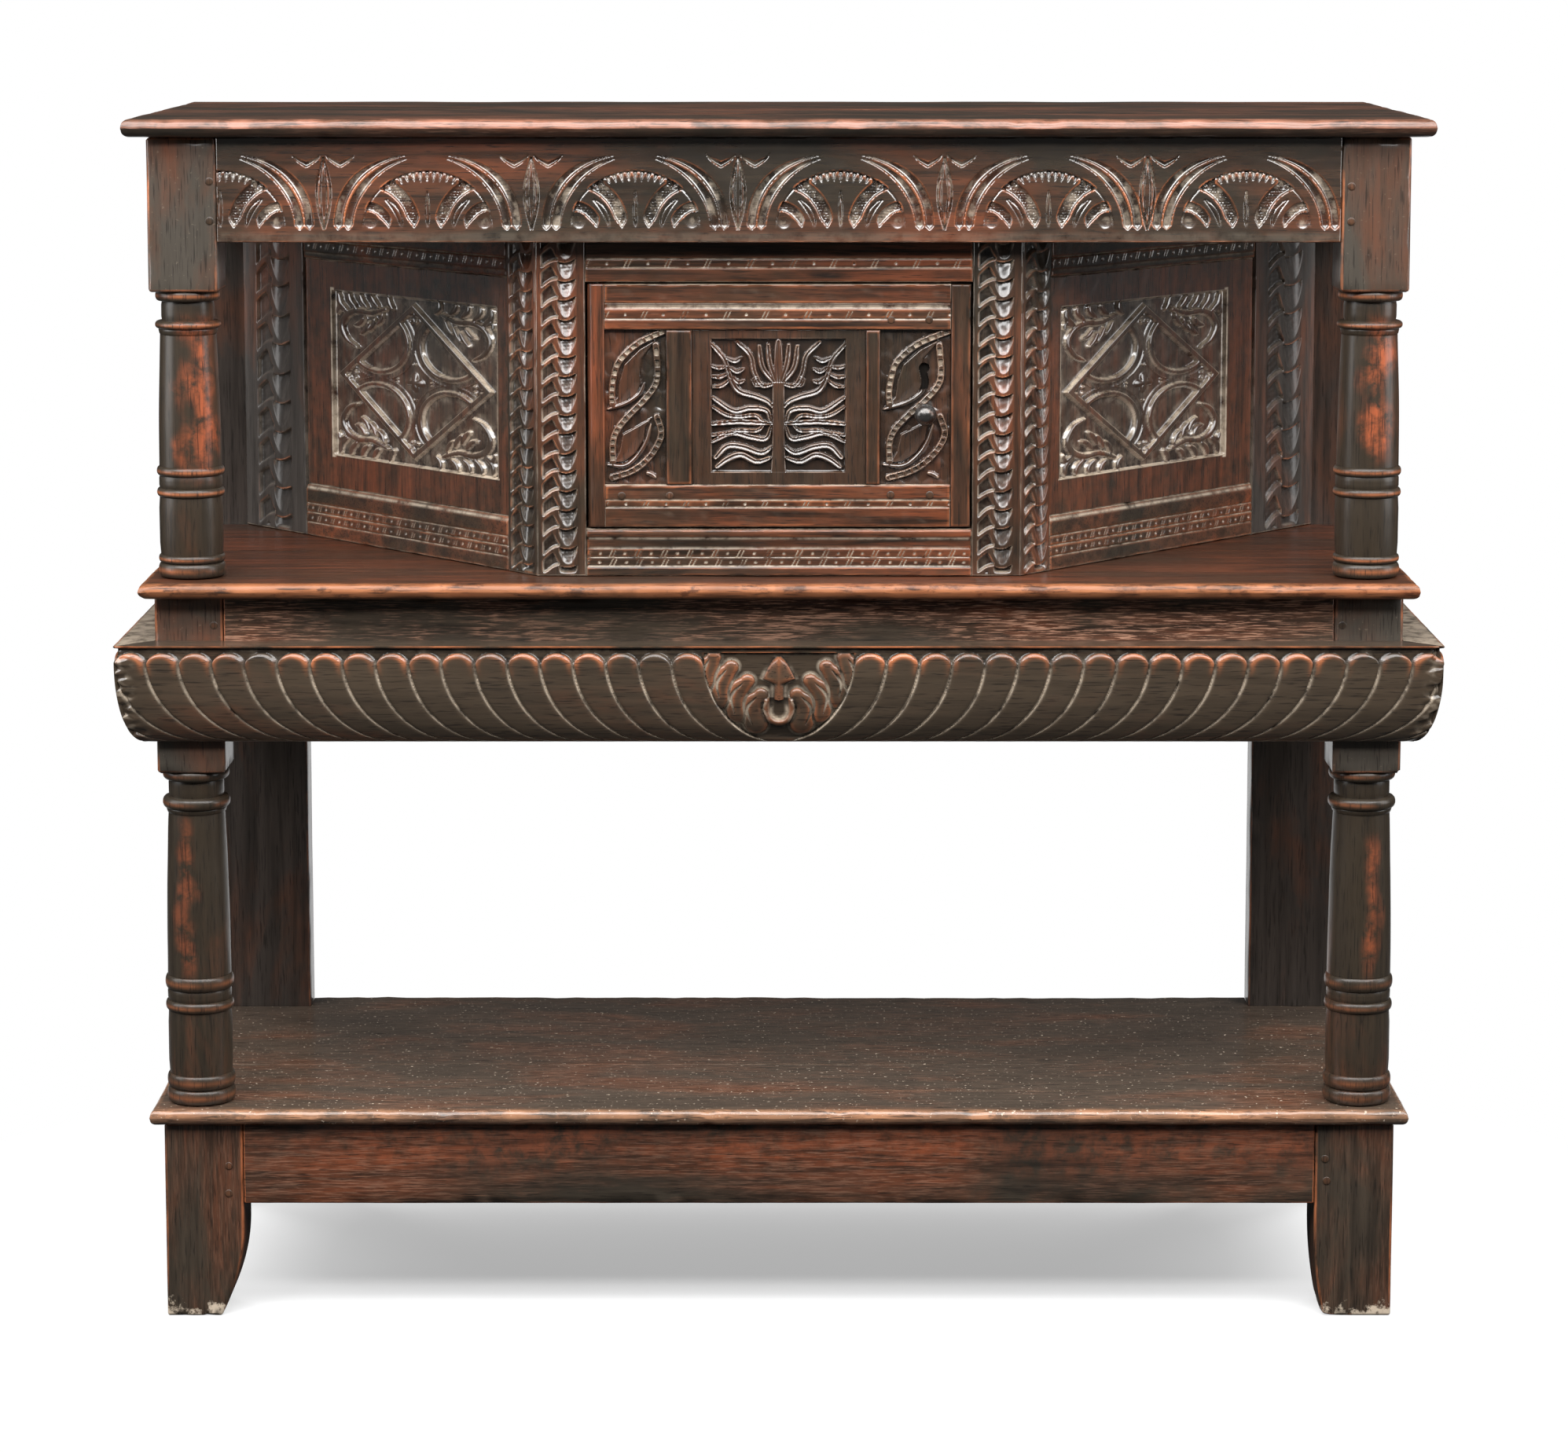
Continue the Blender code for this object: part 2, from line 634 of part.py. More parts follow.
def cupboard_face():
    """Fixed frame round the door: two stiles mitred to the canted sides, and two rails."""
    mitre = WALL_THICKNESS * math.tan(CANT_ANGLE / 2)
    back = FACE_Y + WALL_THICKNESS
    hosts = ("cupboard_stile_left", "cupboard_stile_right")
    for name, low, high in (("cupboard_rail_bottom", MID_FLOOR, DOOR_Z - DOOR_GAP),
                            ("cupboard_rail_top", DOOR_TOP + DOOR_GAP, CEILING)):
        tenoned_rail(name, 0, (GAP - OPENING_HALF, FACE_Y, low), (OPENING_HALF - GAP, back, high),
                     hosts, oak(f"{name}_oak", OAK_DARK))
    for side in ("left", "right"):
        sign = mirrored(side)
        outline = [(OPENING_HALF, FACE_Y), (FACE_HALF, FACE_Y), (FACE_HALF - mitre, back),
                   (OPENING_HALF, back)]
        name = f"cupboard_stile_{side}"
        piece(name, prism_fill([(sign * x, y) for x, y in outline], MID_FLOOR, CEILING),
              oak(f"{name}_oak", OAK_DARK))


def back_boards():
    """Two level boards behind the cupboard, held in grooves in the rear posts."""
    rear = BACK - BACK_BOARD_SETBACK
    join = MID_FLOOR + LOWER_BACK_BOARD
    for name, low, high in (("back_board_lower", MID_FLOOR, join),
                            ("back_board_upper", join + GAP, FRIEZE_Z - GAP)):
        first = (-REAR_INNER - TONGUE, rear - BACK_BOARD_THICKNESS, low)
        last = (REAR_INNER + TONGUE, rear, high)
        for side in ("left", "right"):
            sockets[f"rear_post_{side}"].append(grown_box(first, last))
        piece(name, box_fill(first, last), oak(f"{name}_oak", OAK_DARK))


def hinge_pins():
    """An iron pin at the top and the bottom of the door's hinge edge."""
    place = Matrix.Translation((HINGE_X, HINGE_Y, 0))
    for name, host, edge, step in (("hinge_pin_top", "cupboard_rail_top", DOOR_TOP, 1),
                                   ("hinge_pin_bottom", "cupboard_rail_bottom", DOOR_Z, -1)):
        into_door = edge - step * PIN_DEPTH
        into_frame = edge + step * (PIN_DEPTH + DOOR_GAP)
        low, high = sorted((into_door, into_frame))
        piece(name, turning_fill(((PIN_RADIUS, low), (PIN_RADIUS, high)), place, PIN_SIDES),
              iron(f"{name}_iron"), smooth=True)
        radius = PIN_RADIUS + GAP
        hole = turning_fill(((radius, low - GAP), (radius, high + GAP)), place, PIN_SIDES)
        sockets[host].append(hole)
        sockets["door_stile_hinge"].append(hole)


def keyhole_fill(depth_low, depth_high):
    """A round eye over a narrow slot, cut through from front to back."""
    lie = Matrix.Rotation(math.pi / 2, 4, "X")
    eye_z = LOCK_Z + KEYHOLE_LENGTH / 2 - KEYHOLE_RADIUS
    half = KEYHOLE_SLOT / 2
    opening = math.asin(half / KEYHOLE_RADIUS)
    sweep = math.tau - 2 * opening
    outline = [(KEYHOLE_X - half, LOCK_Z - KEYHOLE_LENGTH / 2),
               (KEYHOLE_X + half, LOCK_Z - KEYHOLE_LENGTH / 2)]
    for step in range(KEYHOLE_SIDES + 1):
        angle = -math.pi / 2 + opening + sweep * step / KEYHOLE_SIDES
        outline.append((KEYHOLE_X + KEYHOLE_RADIUS * math.cos(angle),
                        eye_z + KEYHOLE_RADIUS * math.sin(angle)))

    def fill(mesh):
        add_prism(mesh, outline, -depth_high, -depth_low)
        bmesh.ops.transform(mesh, matrix=lie, verts=mesh.verts)

    return fill


def door_lock(pivot):
    """Iron lock case on the inside of the door, with the bolt that slides behind the stile."""
    right = DOOR_HALF - LOCK_EDGE
    case_low = (right - LOCK_WIDTH, DOOR_BACK + GAP, LOCK_Z - LOCK_HEIGHT / 2)
    case_high = (right, DOOR_BACK + GAP + LOCK_DEPTH, LOCK_Z + LOCK_HEIGHT / 2)
    bolt_low = (right - BOLT_LENGTH, BOLT_Y, LOCK_Z - BOLT_HEIGHT / 2)
    bolt_high = (right, BOLT_Y + BOLT_THICKNESS, LOCK_Z + BOLT_HEIGHT / 2)
    guide = ([value - GAP for value in bolt_low],
             [right + LOCK_EDGE, bolt_high[1] + GAP, bolt_high[2] + GAP])
    sockets["lock_case"].append(box_fill(*guide))
    sockets["lock_case"].append(keyhole_fill(DOOR_BACK, guide[0][1] - GAP))
    piece("lock_case", box_fill(case_low, case_high), iron("lock_case_iron"), parent=pivot)
    slider = bpy.data.objects.new("lock_bolt_slide", None)
    bpy.context.scene.collection.objects.link(slider)
    slider.location = ((bolt_low[0] + bolt_high[0]) / 2, BOLT_Y + BOLT_THICKNESS / 2, LOCK_Z)
    piece("lock_bolt", box_fill(bolt_low, bolt_high), iron("lock_bolt_iron"), parent=slider)


def door_knob(pivot):
    """A small iron ball on a shank that is clenched behind the right-hand panel."""
    panel_front = FACE_Y + PANEL_SETBACK
    tail = PANEL_THICKNESS + KNOB_TAIL
    profile = [(KNOB_SHANK, -tail), (KNOB_SHANK, GAP), (KNOB_NECK, GAP),
               (KNOB_NECK, KNOB_NECK_LENGTH)]
    begin = math.asin(KNOB_NECK / KNOB_RADIUS)
    centre = KNOB_NECK_LENGTH + KNOB_RADIUS * math.cos(begin)
    for step in range(1, KNOB_STEPS):
        angle = begin + (math.pi - begin) * step / KNOB_STEPS
        profile.append((KNOB_RADIUS * math.sin(angle), centre - KNOB_RADIUS * math.cos(angle)))
    face = Matrix.Translation((KNOB_X, panel_front, KNOB_Z)) @ Matrix.Rotation(math.pi / 2, 4, "X")
    piece("door_knob", turning_fill(profile, face, KNOB_SIDES), iron("door_knob_iron"),
          parent=pivot, smooth=True)
    hole = ((KNOB_SHANK + GAP, -tail - GAP), (KNOB_SHANK + GAP, KNOB_NECK_LENGTH))
    sockets["door_panel_right"].append(turning_fill(hole, face, KNOB_SIDES))


def door():
    """Framed door with three panels, turning on pins in its rounded left-hand edge."""
    pivot = bpy.data.objects.new("door_pivot", None)
    bpy.context.scene.collection.objects.link(pivot)
    pivot.location = (HINGE_X, HINGE_Y, DOOR_Z)
    low_edge = DOOR_Z + DOOR_BOTTOM_RAIL
    high_edge = DOOR_TOP - DOOR_TOP_RAIL
    hinge_inner = DOOR_HINGE_STILE - DOOR_HALF
    lock_inner = DOOR_HALF - DOOR_LOCK_STILE
    centre = DOOR_CENTRE / 2
    left_inner = -centre - MUNTIN_LEFT
    right_inner = centre + MUNTIN_RIGHT
    panel_y = (FACE_Y + PANEL_SETBACK, FACE_Y + PANEL_SETBACK + PANEL_THICKNESS)

    def tone(part):
        return oak(f"door_{part}_oak", OAK_DARK)

    door_lock(pivot)
    door_knob(pivot)
    sockets["door_panel_right"].append(keyhole_fill(FACE_Y, DOOR_BACK))
    for name, first, last, hosts in (
            ("left", hinge_inner, left_inner, ("door_stile_hinge", "door_muntin_left")),
            ("centre", -centre, centre, ("door_muntin_left", "door_muntin_right")),
            ("right", right_inner, lock_inner, ("door_muntin_right", "door_stile_lock"))):
        framed_panel(f"door_panel_{name}", (first, panel_y[0], low_edge),
                     (last, panel_y[1], high_edge),
                     hosts + ("door_rail_top", "door_rail_bottom"), tone(f"panel_{name}"), pivot)
    for name, first, last in (("left", left_inner, -centre), ("right", centre, right_inner)):
        tongued_rail(f"door_muntin_{name}", (first, FACE_Y, low_edge + GAP),
                     (last, DOOR_BACK, high_edge - GAP), 2, ("door_rail_top", "door_rail_bottom"),
                     tone(f"muntin_{name}"), pivot)
    for name, first, last in (("bottom", DOOR_Z, low_edge), ("top", high_edge, DOOR_TOP)):
        tongued_rail(f"door_rail_{name}", (hinge_inner + GAP, FACE_Y, first),
                     (lock_inner - GAP, DOOR_BACK, last), 0,
                     ("door_stile_hinge", "door_stile_lock"), tone(f"rail_{name}"), pivot)
    outline = [(hinge_inner, FACE_Y), (hinge_inner, DOOR_BACK)]
    for step in range(EDGE_STEPS + 1):
        angle = math.pi / 2 + math.pi * step / EDGE_STEPS
        outline.append((HINGE_X + EDGE_RADIUS * math.cos(angle),
                        HINGE_Y + EDGE_RADIUS * math.sin(angle)))
    piece("door_stile_hinge", prism_fill(outline, DOOR_Z, DOOR_TOP), tone("stile_hinge"),
          parent=pivot)
    piece("door_stile_lock", box_fill((lock_inner, FACE_Y, DOOR_Z), (DOOR_HALF, DOOR_BACK, DOOR_TOP)),
          tone("stile_lock"), parent=pivot)


def carry_on_parents():
    """Keep each parented piece where it was drawn, with its origin on its parent's axis."""
    bpy.context.view_layer.update()
    for thing in bpy.data.objects:
        parent = thing.parent
        if parent is None or parent.rotation_euler.z:
            continue
        thing.data.transform(Matrix.Translation(-parent.location))


def build():
    clear_scene()
    waist_moulding()
    rail_ring("frieze", FRIEZE_Z, CEILING, BLOCK_INNER, BLOCK_SIDE,
              ("upper_pillar_left", "upper_pillar_right"))
    rail_ring("mid", WAIST_Z - MID_RAIL_HEIGHT, WAIST_Z, BLOCK_INNER, BLOCK_SIDE,
              ("lower_pillar_left", "lower_pillar_right"))
    rail_ring("base", FOOT_HEIGHT - BASE_RAIL_HEIGHT, FOOT_HEIGHT, FOOT_INNER, FOOT_DEPTH,
              ("front_foot_left", "front_foot_right"))
    hinge_pins()
    door()
    cupboard_face()
    back_boards()
    for side in ("left", "right"):
        canted_side(side)
        sockets[f"lower_pillar_{side}"].append(pillar_hole(MID_FLOOR, side))
        sockets["mid_shelf_front"].append(pillar_hole(MID_FLOOR, side))
        sockets["lower_shelf_front"].append(pillar_hole(LOWER_PILLAR_Z, side))
        pillar("upper", side, UPPER_MEMBERS, MID_FLOOR, UPPER_TURNING, UPPER_BLOCK)
        pillar("lower", side, LOWER_MEMBERS, LOWER_PILLAR_Z, LOWER_TURNING, LOWER_BLOCK)
        front_foot(side)
        rear_post(side)
    board_pair("lower_shelf", LOWER_SHELF_Z, SHELF_THICKNESS, SHELF_OVERHANG, SHELF_OVERHANG,
               LOWER_SHELF_JOINT, SHELF_ROUND, True)
    board_pair("mid_shelf", MID_SHELF_Z, SHELF_THICKNESS, SHELF_OVERHANG, MID_SHELF_FRONT,
               MID_SHELF_JOINT, SHELF_ROUND, True)
    board_pair("top_board", TOP_Z, TOP_THICKNESS, TOP_OVERHANG, TOP_OVERHANG,
               TOP_JOINT, TOP_ROUND, False)
    carry_on_parents()


build()
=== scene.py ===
import math

import bpy
import numpy as np
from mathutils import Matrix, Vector


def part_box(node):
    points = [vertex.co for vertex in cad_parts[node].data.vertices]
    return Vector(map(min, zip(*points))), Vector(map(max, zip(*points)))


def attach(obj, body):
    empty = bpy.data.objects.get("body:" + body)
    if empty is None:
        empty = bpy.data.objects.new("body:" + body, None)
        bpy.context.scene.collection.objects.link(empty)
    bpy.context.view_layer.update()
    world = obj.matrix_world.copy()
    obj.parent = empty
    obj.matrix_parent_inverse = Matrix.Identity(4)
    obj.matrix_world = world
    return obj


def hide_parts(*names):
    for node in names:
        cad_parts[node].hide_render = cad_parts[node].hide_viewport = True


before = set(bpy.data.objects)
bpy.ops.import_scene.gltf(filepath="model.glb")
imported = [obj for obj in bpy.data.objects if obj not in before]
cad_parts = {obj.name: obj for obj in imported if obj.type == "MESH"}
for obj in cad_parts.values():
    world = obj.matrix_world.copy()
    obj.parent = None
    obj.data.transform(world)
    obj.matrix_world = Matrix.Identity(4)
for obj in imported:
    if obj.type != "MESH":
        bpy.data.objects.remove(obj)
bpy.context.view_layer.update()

MM = 0.001
X = np.array((1.0, 0.0, 0.0))
Z = np.array((0.0, 0.0, 1.0))


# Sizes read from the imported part
def low(node):
    """Lowest corner of a node's box."""
    return np.array(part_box(node)[0])


def high(node):
    """Highest corner of a node's box."""
    return np.array(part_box(node)[1])


FRONT = low("upper_pillar_left")[1]
BACK = high("rear_post_left")[1]
HALF = high("upper_pillar_right")[0]
BLOCK_INNER = low("upper_pillar_right")[0]
CEILING = high("upper_pillar_left")[2]
MID_FLOOR = low("cupboard_stile_left")[2]
WAIST = high("lower_pillar_left")[2]
LOWER_FLOOR = high("lower_shelf_front")[2]
FACE_Y = low("cupboard_stile_left")[1]
FACE_HALF = high("cupboard_stile_right")[0]
OPENING = low("cupboard_stile_right")[0]
WALL = 0.024                # rails, stiles and planted timbers, front to back
GAP = 0.3 * MM              # between neighbouring pieces
HAIR = 0.05 * MM            # least half-width of a cut that tapers away
TONGUE = 4 * MM             # edge of a door panel held in its groove
PANEL_SET_BACK = 3 * MM     # face of a panel behind the face of its frame
PANEL_THICK = 8 * MM
CANT_END = np.array((high("canted_right_stile_rear")[0], high("canted_right_stile_rear")[1]))
CANT_RUN = CANT_END - np.array((FACE_HALF, FACE_Y))
CANT_LENGTH = float(np.hypot(*CANT_RUN))
CANT_ANGLE = math.atan2(CANT_RUN[1], CANT_RUN[0])
CANT_FRONT_STILE = 0.0476   # widths seen along the canted side
CANT_REAR_STILE = 0.1137
CANT_FIELD = (0.068, 0.355)  # ends of the lozenge's field along that side
FIELD_MIDDLE = 0.928        # height of its middle
FIELD_HALF = ((CANT_FIELD[1] - CANT_FIELD[0]) / 2, 0.0865)


# Small numeric helpers
def unit(value):
    """The value held between 0 and 1."""
    return np.clip(value, 0, 1)


def dome(offset):
    """Height of a half circle of radius 1 at an offset from its middle, and 0 beyond it."""
    return np.sqrt(unit(1 - offset ** 2))


def step_between(value, first, last):
    """Smooth 0 to 1 as value goes from first to last."""
    share = unit((value - first) / (last - first))
    return share * share * (3 - 2 * share)


def wobble(a, b, size, seed):
    """Soft irregular waves between about -1 and 1, for hand-worked surfaces."""
    rng = np.random.default_rng(seed)
    total = np.zeros(np.broadcast(a, b).shape)
    for _ in range(7):
        turn = rng.uniform(0, math.tau)
        length = size * rng.uniform(0.5, 1.6)
        phase = rng.uniform(0, math.tau)
        total = total + np.sin((a * math.cos(turn) + b * math.sin(turn)) * math.tau / length + phase)
    return total / 3.4


def blur(field, reach):
    """Mean over a square window, twice, with the edge values carried outwards."""
    for _ in range(2):
        for axis in (0, 1):
            pads = [(0, 0), (0, 0)]
            pads[axis] = (reach + 1, reach)
            grown = np.cumsum(np.pad(field, pads, mode="edge"), axis=axis)
            size = 2 * reach + 1
            if axis == 0:
                field = (grown[size:] - grown[:-size]) / size
            else:
                field = (grown[:, size:] - grown[:, :-size]) / size
    return field


def curve(points, steps=9):
    """A smooth line through points."""
    points = np.array(points, float)
    ends = np.vstack((2 * points[0] - points[1], points, 2 * points[-1] - points[-2]))
    line = []
    for before, first, last, after in zip(ends, ends[1:], ends[2:], ends[3:]):
        for share in np.linspace(0, 1, steps, endpoint=False):
            line.append(0.5 * (2 * first + (last - before) * share
                               + (2 * before - 5 * first + 4 * last - after) * share ** 2
                               + (3 * first - before - 3 * last + after) * share ** 3))
    line.append(points[-1])
    return np.array(line)


def along_line(u, v, line):
    """Distance from each point to a line, and how far along the line it is, 0 to 1."""
    best = np.full(u.shape, np.inf)
    place = np.zeros(u.shape)
    count = len(line) - 1
    for index in range(count):
        start, run = line[index], line[index + 1] - line[index]
        square = max(run @ run, 1e-12)
        share = unit(((u - start[0]) * run[0] + (v - start[1]) * run[1]) / square)
        distance = np.hypot(u - start[0] - share * run[0], v - start[1] - share * run[1])
        nearer = distance < best
        best = np.where(nearer, distance, best)
        place = np.where(nearer, (index + share) / count, place)
    return best, place


def hollow(distance, half, depth):
    """A round-bottomed cut, as a gouge leaves."""
    return -depth * dome(distance / half)


def notch(distance, half, depth):
    """A V-shaped cut."""
    return -depth * unit(1 - np.abs(distance) / half)


# Meshes. Reach of the windows that find arrises and hollows on a carved face, how far below its
# surroundings a point takes full chalk or full dirt and painted shade, and the height of the ripples that
# tools leave
FINE_WINDOW = 1.4 * MM
BROAD_WINDOW = 6 * MM
CHALK_DEPTH = 0.35 * MM
DIRT_AND_SHADE_DEPTH = 1.5 * MM
RIPPLE = 0.10 * MM


def make_object(name, points, faces, marks=None, sharp=50):
    """A mesh object from points and lists of equal-sided faces, with per-point marks."""
    mesh = bpy.data.meshes.new(name)
    points = np.asarray(points, float)
    loops = np.concatenate([np.asarray(group, np.int32).ravel() for group in faces])
    sizes = np.concatenate([np.full(len(group), np.asarray(group).shape[1], np.int32)
                            for group in faces])
    starts = np.concatenate(((0,), np.cumsum(sizes)[:-1])).astype(np.int32)
    mesh.vertices.add(len(points))
    mesh.vertices.foreach_set("co", points.ravel())
    mesh.loops.add(len(loops))
    mesh.loops.foreach_set("vertex_index", loops)
    mesh.polygons.add(len(sizes))
    mesh.polygons.foreach_set("loop_start", starts)
    mesh.update(calc_edges=True)
    mesh.validate()
    for key, values in (marks or {}).items():
        layer = mesh.attributes.new(key, "FLOAT", "POINT")
        layer.data.foreach_set("value", np.asarray(values, np.float32).ravel())
    mesh.shade_smooth()
    mesh.set_sharp_from_angle(angle=math.radians(sharp))
    thing = bpy.data.objects.new(name, mesh)
    bpy.context.scene.collection.objects.link(thing)
    return thing


def place(thing, body, node, slot, material):
    """Give a piece its finish, hang it from its body's empty and hide the node it stands in for. The slot is
    not used.
    """
    thing.data.materials.append(material)
    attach(thing, body)
    if node:
        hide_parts(node)


def edge_wear(u, v, width, height, radius, seed):
    """Drop of the surface towards the rim of a face: a worn, slightly uneven arris."""
    rim = np.minimum(np.minimum(u, width - u), np.minimum(v, height - v))
    reach = radius * (1 + 0.35 * wobble(u, v, 0.06, seed))
    inside = np.clip(reach - rim, 0, reach)
    return -(reach - np.sqrt(np.maximum(reach ** 2 - inside ** 2, 0)))


def cells(index):
    """Corners of every cell in a grid of point numbers."""
    return np.stack((index[:-1, :-1], index[:-1, 1:], index[1:, 1:], index[1:, :-1]), -1)


def slab(name, front, back, marks):
    """A closed board from a grid of front points, the matching back points and the front's marks."""
    rows, columns = front.shape[:2]
    index = np.arange(rows * columns).reshape(rows, columns)
    ring = np.concatenate((index[0, :-1], index[:-1, -1], index[-1, :0:-1], index[:0:-1, 0]))
    back_index = rows * columns + np.arange(len(ring))
    walls = np.stack((ring, back_index, np.roll(back_index, -1), np.roll(ring, -1)), -1)
    points = np.vstack((front.reshape(-1, 3), back.reshape(-1, 3)[ring]))
    blank = np.zeros(len(ring))
    marks = {key: np.concatenate((values.ravel(), blank)) for key, values in marks.items()}
    faces = [cells(index).reshape(-1, 4), walls, back_index[::-1][None, :]]
    return make_object(name, points, faces, marks)


def relief(name, face, size, step, carve, thick, inset=(0, 0), radius=1.5 * MM, seed=1, rub=None,
           bare=None, chalk=0.0, dusty=0.0, pieces=1, edge=(0.08 * MM, 0.40 * MM), arris=None, pit=None):
    """Boards with a carved face, which is (origin, across, up); carve(u, v) gives its heights.

    Marks drive the finish: wear on raised edges, sunk for dirt and painted shade in hollows, rub for red
    patches, bare for pale ones, with a painted highlight on steep slopes. rub, bare and arris add to them,
    and pit(u, v) is true in a hole that is painted black as its shade.
    """
    origin, across, up = (np.asarray(part, float) for part in face)
    out = np.cross(across, up)
    width, height = size
    columns = max(2, round(width / step))
    rows = max(2, round(height / step))
    u, v = np.meshgrid(np.linspace(0, width, columns + 1), np.linspace(0, height, rows + 1))
    level = carve(u, v) + RIPPLE * wobble(u, v, 0.03, seed + 9)
    level = level + edge_wear(u, v, width, height, radius, seed)
    level = np.minimum(level, 0.0)
    near = level - blur(level, max(1, round(FINE_WINDOW / step)))
    wide = level - blur(level, max(2, round(BROAD_WINDOW / step)))
    rim = np.minimum(np.minimum(u, width - u), np.minimum(v, height - v))
    inner = 0.45 + 0.55 * step_between(rim, 1 * MM, 3 * MM)
    slope = np.hypot(*np.gradient(level, height / rows, width / columns))
    # bare takes chalk in fine hollows, and a painted highlight on steep slopes
    marks = {"wear": unit((near - edge[0]) / edge[1]) * inner,
             "sunk": unit(-wide / DIRT_AND_SHADE_DEPTH),
             "bare": np.maximum(chalk * unit(-near / CHALK_DEPTH),
                                dusty * step_between(slope, 0.7, 1.5))}
    if arris is not None:
        marks["wear"] = np.maximum(marks["wear"], arris(u, v))
    if bare is not None:
        marks["bare"] = np.maximum(marks["bare"], bare(u, v))
    if rub is not None:
        marks["rub"] = rub(u, v)
    if pit is not None:
        # A pit is painted black, as the shade inside a hole
        hole = pit(u, v)
        marks["wear"] = np.where(blur(hole.astype(float), 4) > 0.01, 0, marks["wear"])
        marks["bare"] = np.where(hole, 0, marks["bare"])
        marks["sunk"] = np.where(hole, 2, marks["sunk"])
    squeezed = inset[0] + u / width * (width - inset[0] - inset[1])
    front = origin + u[..., None] * across + v[..., None] * up + level[..., None] * out
    back = origin + squeezed[..., None] * across + v[..., None] * up - thick * out
    bounds = np.linspace(0, columns, pieces + 1).round().astype(int)
    things = []
    for number, (first, last) in enumerate(zip(bounds, bounds[1:])):
        part = np.s_[:, first:last + 1]
        label = name if pieces == 1 else f"{name}_{number + 1}"
        cut = {key: mark[part] for key, mark in marks.items()}
        things.append(slab(label, front[part], back[part], cut))
    return things


def spaced(first, last, step, fine, reach):
    """Places from first to last: fine steps near both ends, wider ones between."""
    ends = np.linspace(0, reach, max(2, round(reach / fine)) + 1)
    middle = np.linspace(first + reach, last - reach,
                         max(2, round((last - first - 2 * reach) / step)) + 1)
    return np.concatenate((first + ends[:-1], middle, (last - ends[:-1])[::-1]))


def worn_block(name, first, last, radius=2.5 * MM, step=9 * MM, seed=1, warp=None, rub=None):
    """A squared timber with softened, uneven arrises."""
    first, last = np.asarray(first, float), np.asarray(last, float)
    lines = [spaced(a, b, step, radius / 3, radius) for a, b in zip(first, last)]
    counts = [len(line) for line in lines]
    keys, points, faces = {}, [], []
    inner_low, inner_high = first + radius, last - radius

    def corner(i, j, k):
        key = (i, j, k)
        if key not in keys:
            keys[key] = len(points)
            points.append((lines[0][i], lines[1][j], lines[2][k]))
        return keys[key]

    for axis in range(3):
        one, two = (axis + 1) % 3, (axis + 2) % 3
        for end in (0, counts[axis] - 1):
            for i in range(counts[one] - 1):
                for j in range(counts[two] - 1):
                    quad = []
                    for di, dj in ((0, 0), (1, 0), (1, 1), (0, 1)):
                        place_at = [0, 0, 0]
                        place_at[axis], place_at[one], place_at[two] = end, i + di, j + dj
                        quad.append(corner(*place_at))
                    faces.append(quad if end else quad[::-1])
    points = np.array(points)
    core = np.clip(points, inner_low, inner_high)
    away = points - core
    length = np.maximum(np.linalg.norm(away, axis=1), 1e-9)
    # How many faces a point is near: 2 on an arris, 3 on a corner
    near = np.sum(np.abs(away) > radius * 0.2, axis=1)
    normal = away / length[:, None]
    noise = wobble(points[:, 0] + points[:, 1], points[:, 2] + 0.4 * points[:, 1], 0.11, seed)
    chips = unit(wobble(points[:, 0] - points[:, 1], points[:, 2] - points[:, 0], 0.05, seed + 3))
    shrink = np.where(near >= 2, radius * 0.45 * chips, 0.0) + 0.12 * MM * np.maximum(1 + noise, 0)
    points = core + normal * (radius - shrink)[:, None]
    marks = {"wear": np.where(near >= 2, 0.75 + 0.25 * noise, 0.0), "sunk": np.zeros(len(points))}
    if warp is not None:
        points = warp(points)
    if rub is not None:
        marks["rub"] = rub(points)
    return make_object(name, points, [np.array(faces)], marks, sharp=60)


def turned(name, profile, axis_place, sides, seed, wear, rub=None, turn=None):
    """Spin (radius, height) points about Z; wear marks each profile point."""
    profile = np.asarray(profile, float)
    angles = np.linspace(0, math.tau, sides, endpoint=False)
    radius = profile[:, 0][:, None] * np.ones(sides)
    height = profile[:, 1][:, None] * np.ones(sides)
    sway = wobble(height, angles * 0.02 + 0 * height, 0.10, seed)
    radius = radius - 0.18 * MM * np.maximum(1 + sway, 0)
    points = np.stack((radius * np.cos(angles), radius * np.sin(angles), height), -1).reshape(-1, 3)
    count = len(profile)
    index = np.arange(count * sides).reshape(count, sides)
    right = np.roll(index, -1, axis=1)
    quads = np.stack((index[:-1], right[:-1], right[1:], index[1:]), -1).reshape(-1, 4)
    bottom, top = index[0][::-1], index[-1]
    marks = {"wear": np.repeat(wear, sides), "sunk": np.zeros(count * sides)}
    if turn is not None:
        points = points @ np.asarray(turn, float).T
    points = points + np.asarray(axis_place, float)
    if rub is not None:
        marks["rub"] = rub(points)
    return make_object(name, points, [quads, bottom[None, :], top[None, :]], marks, sharp=40)


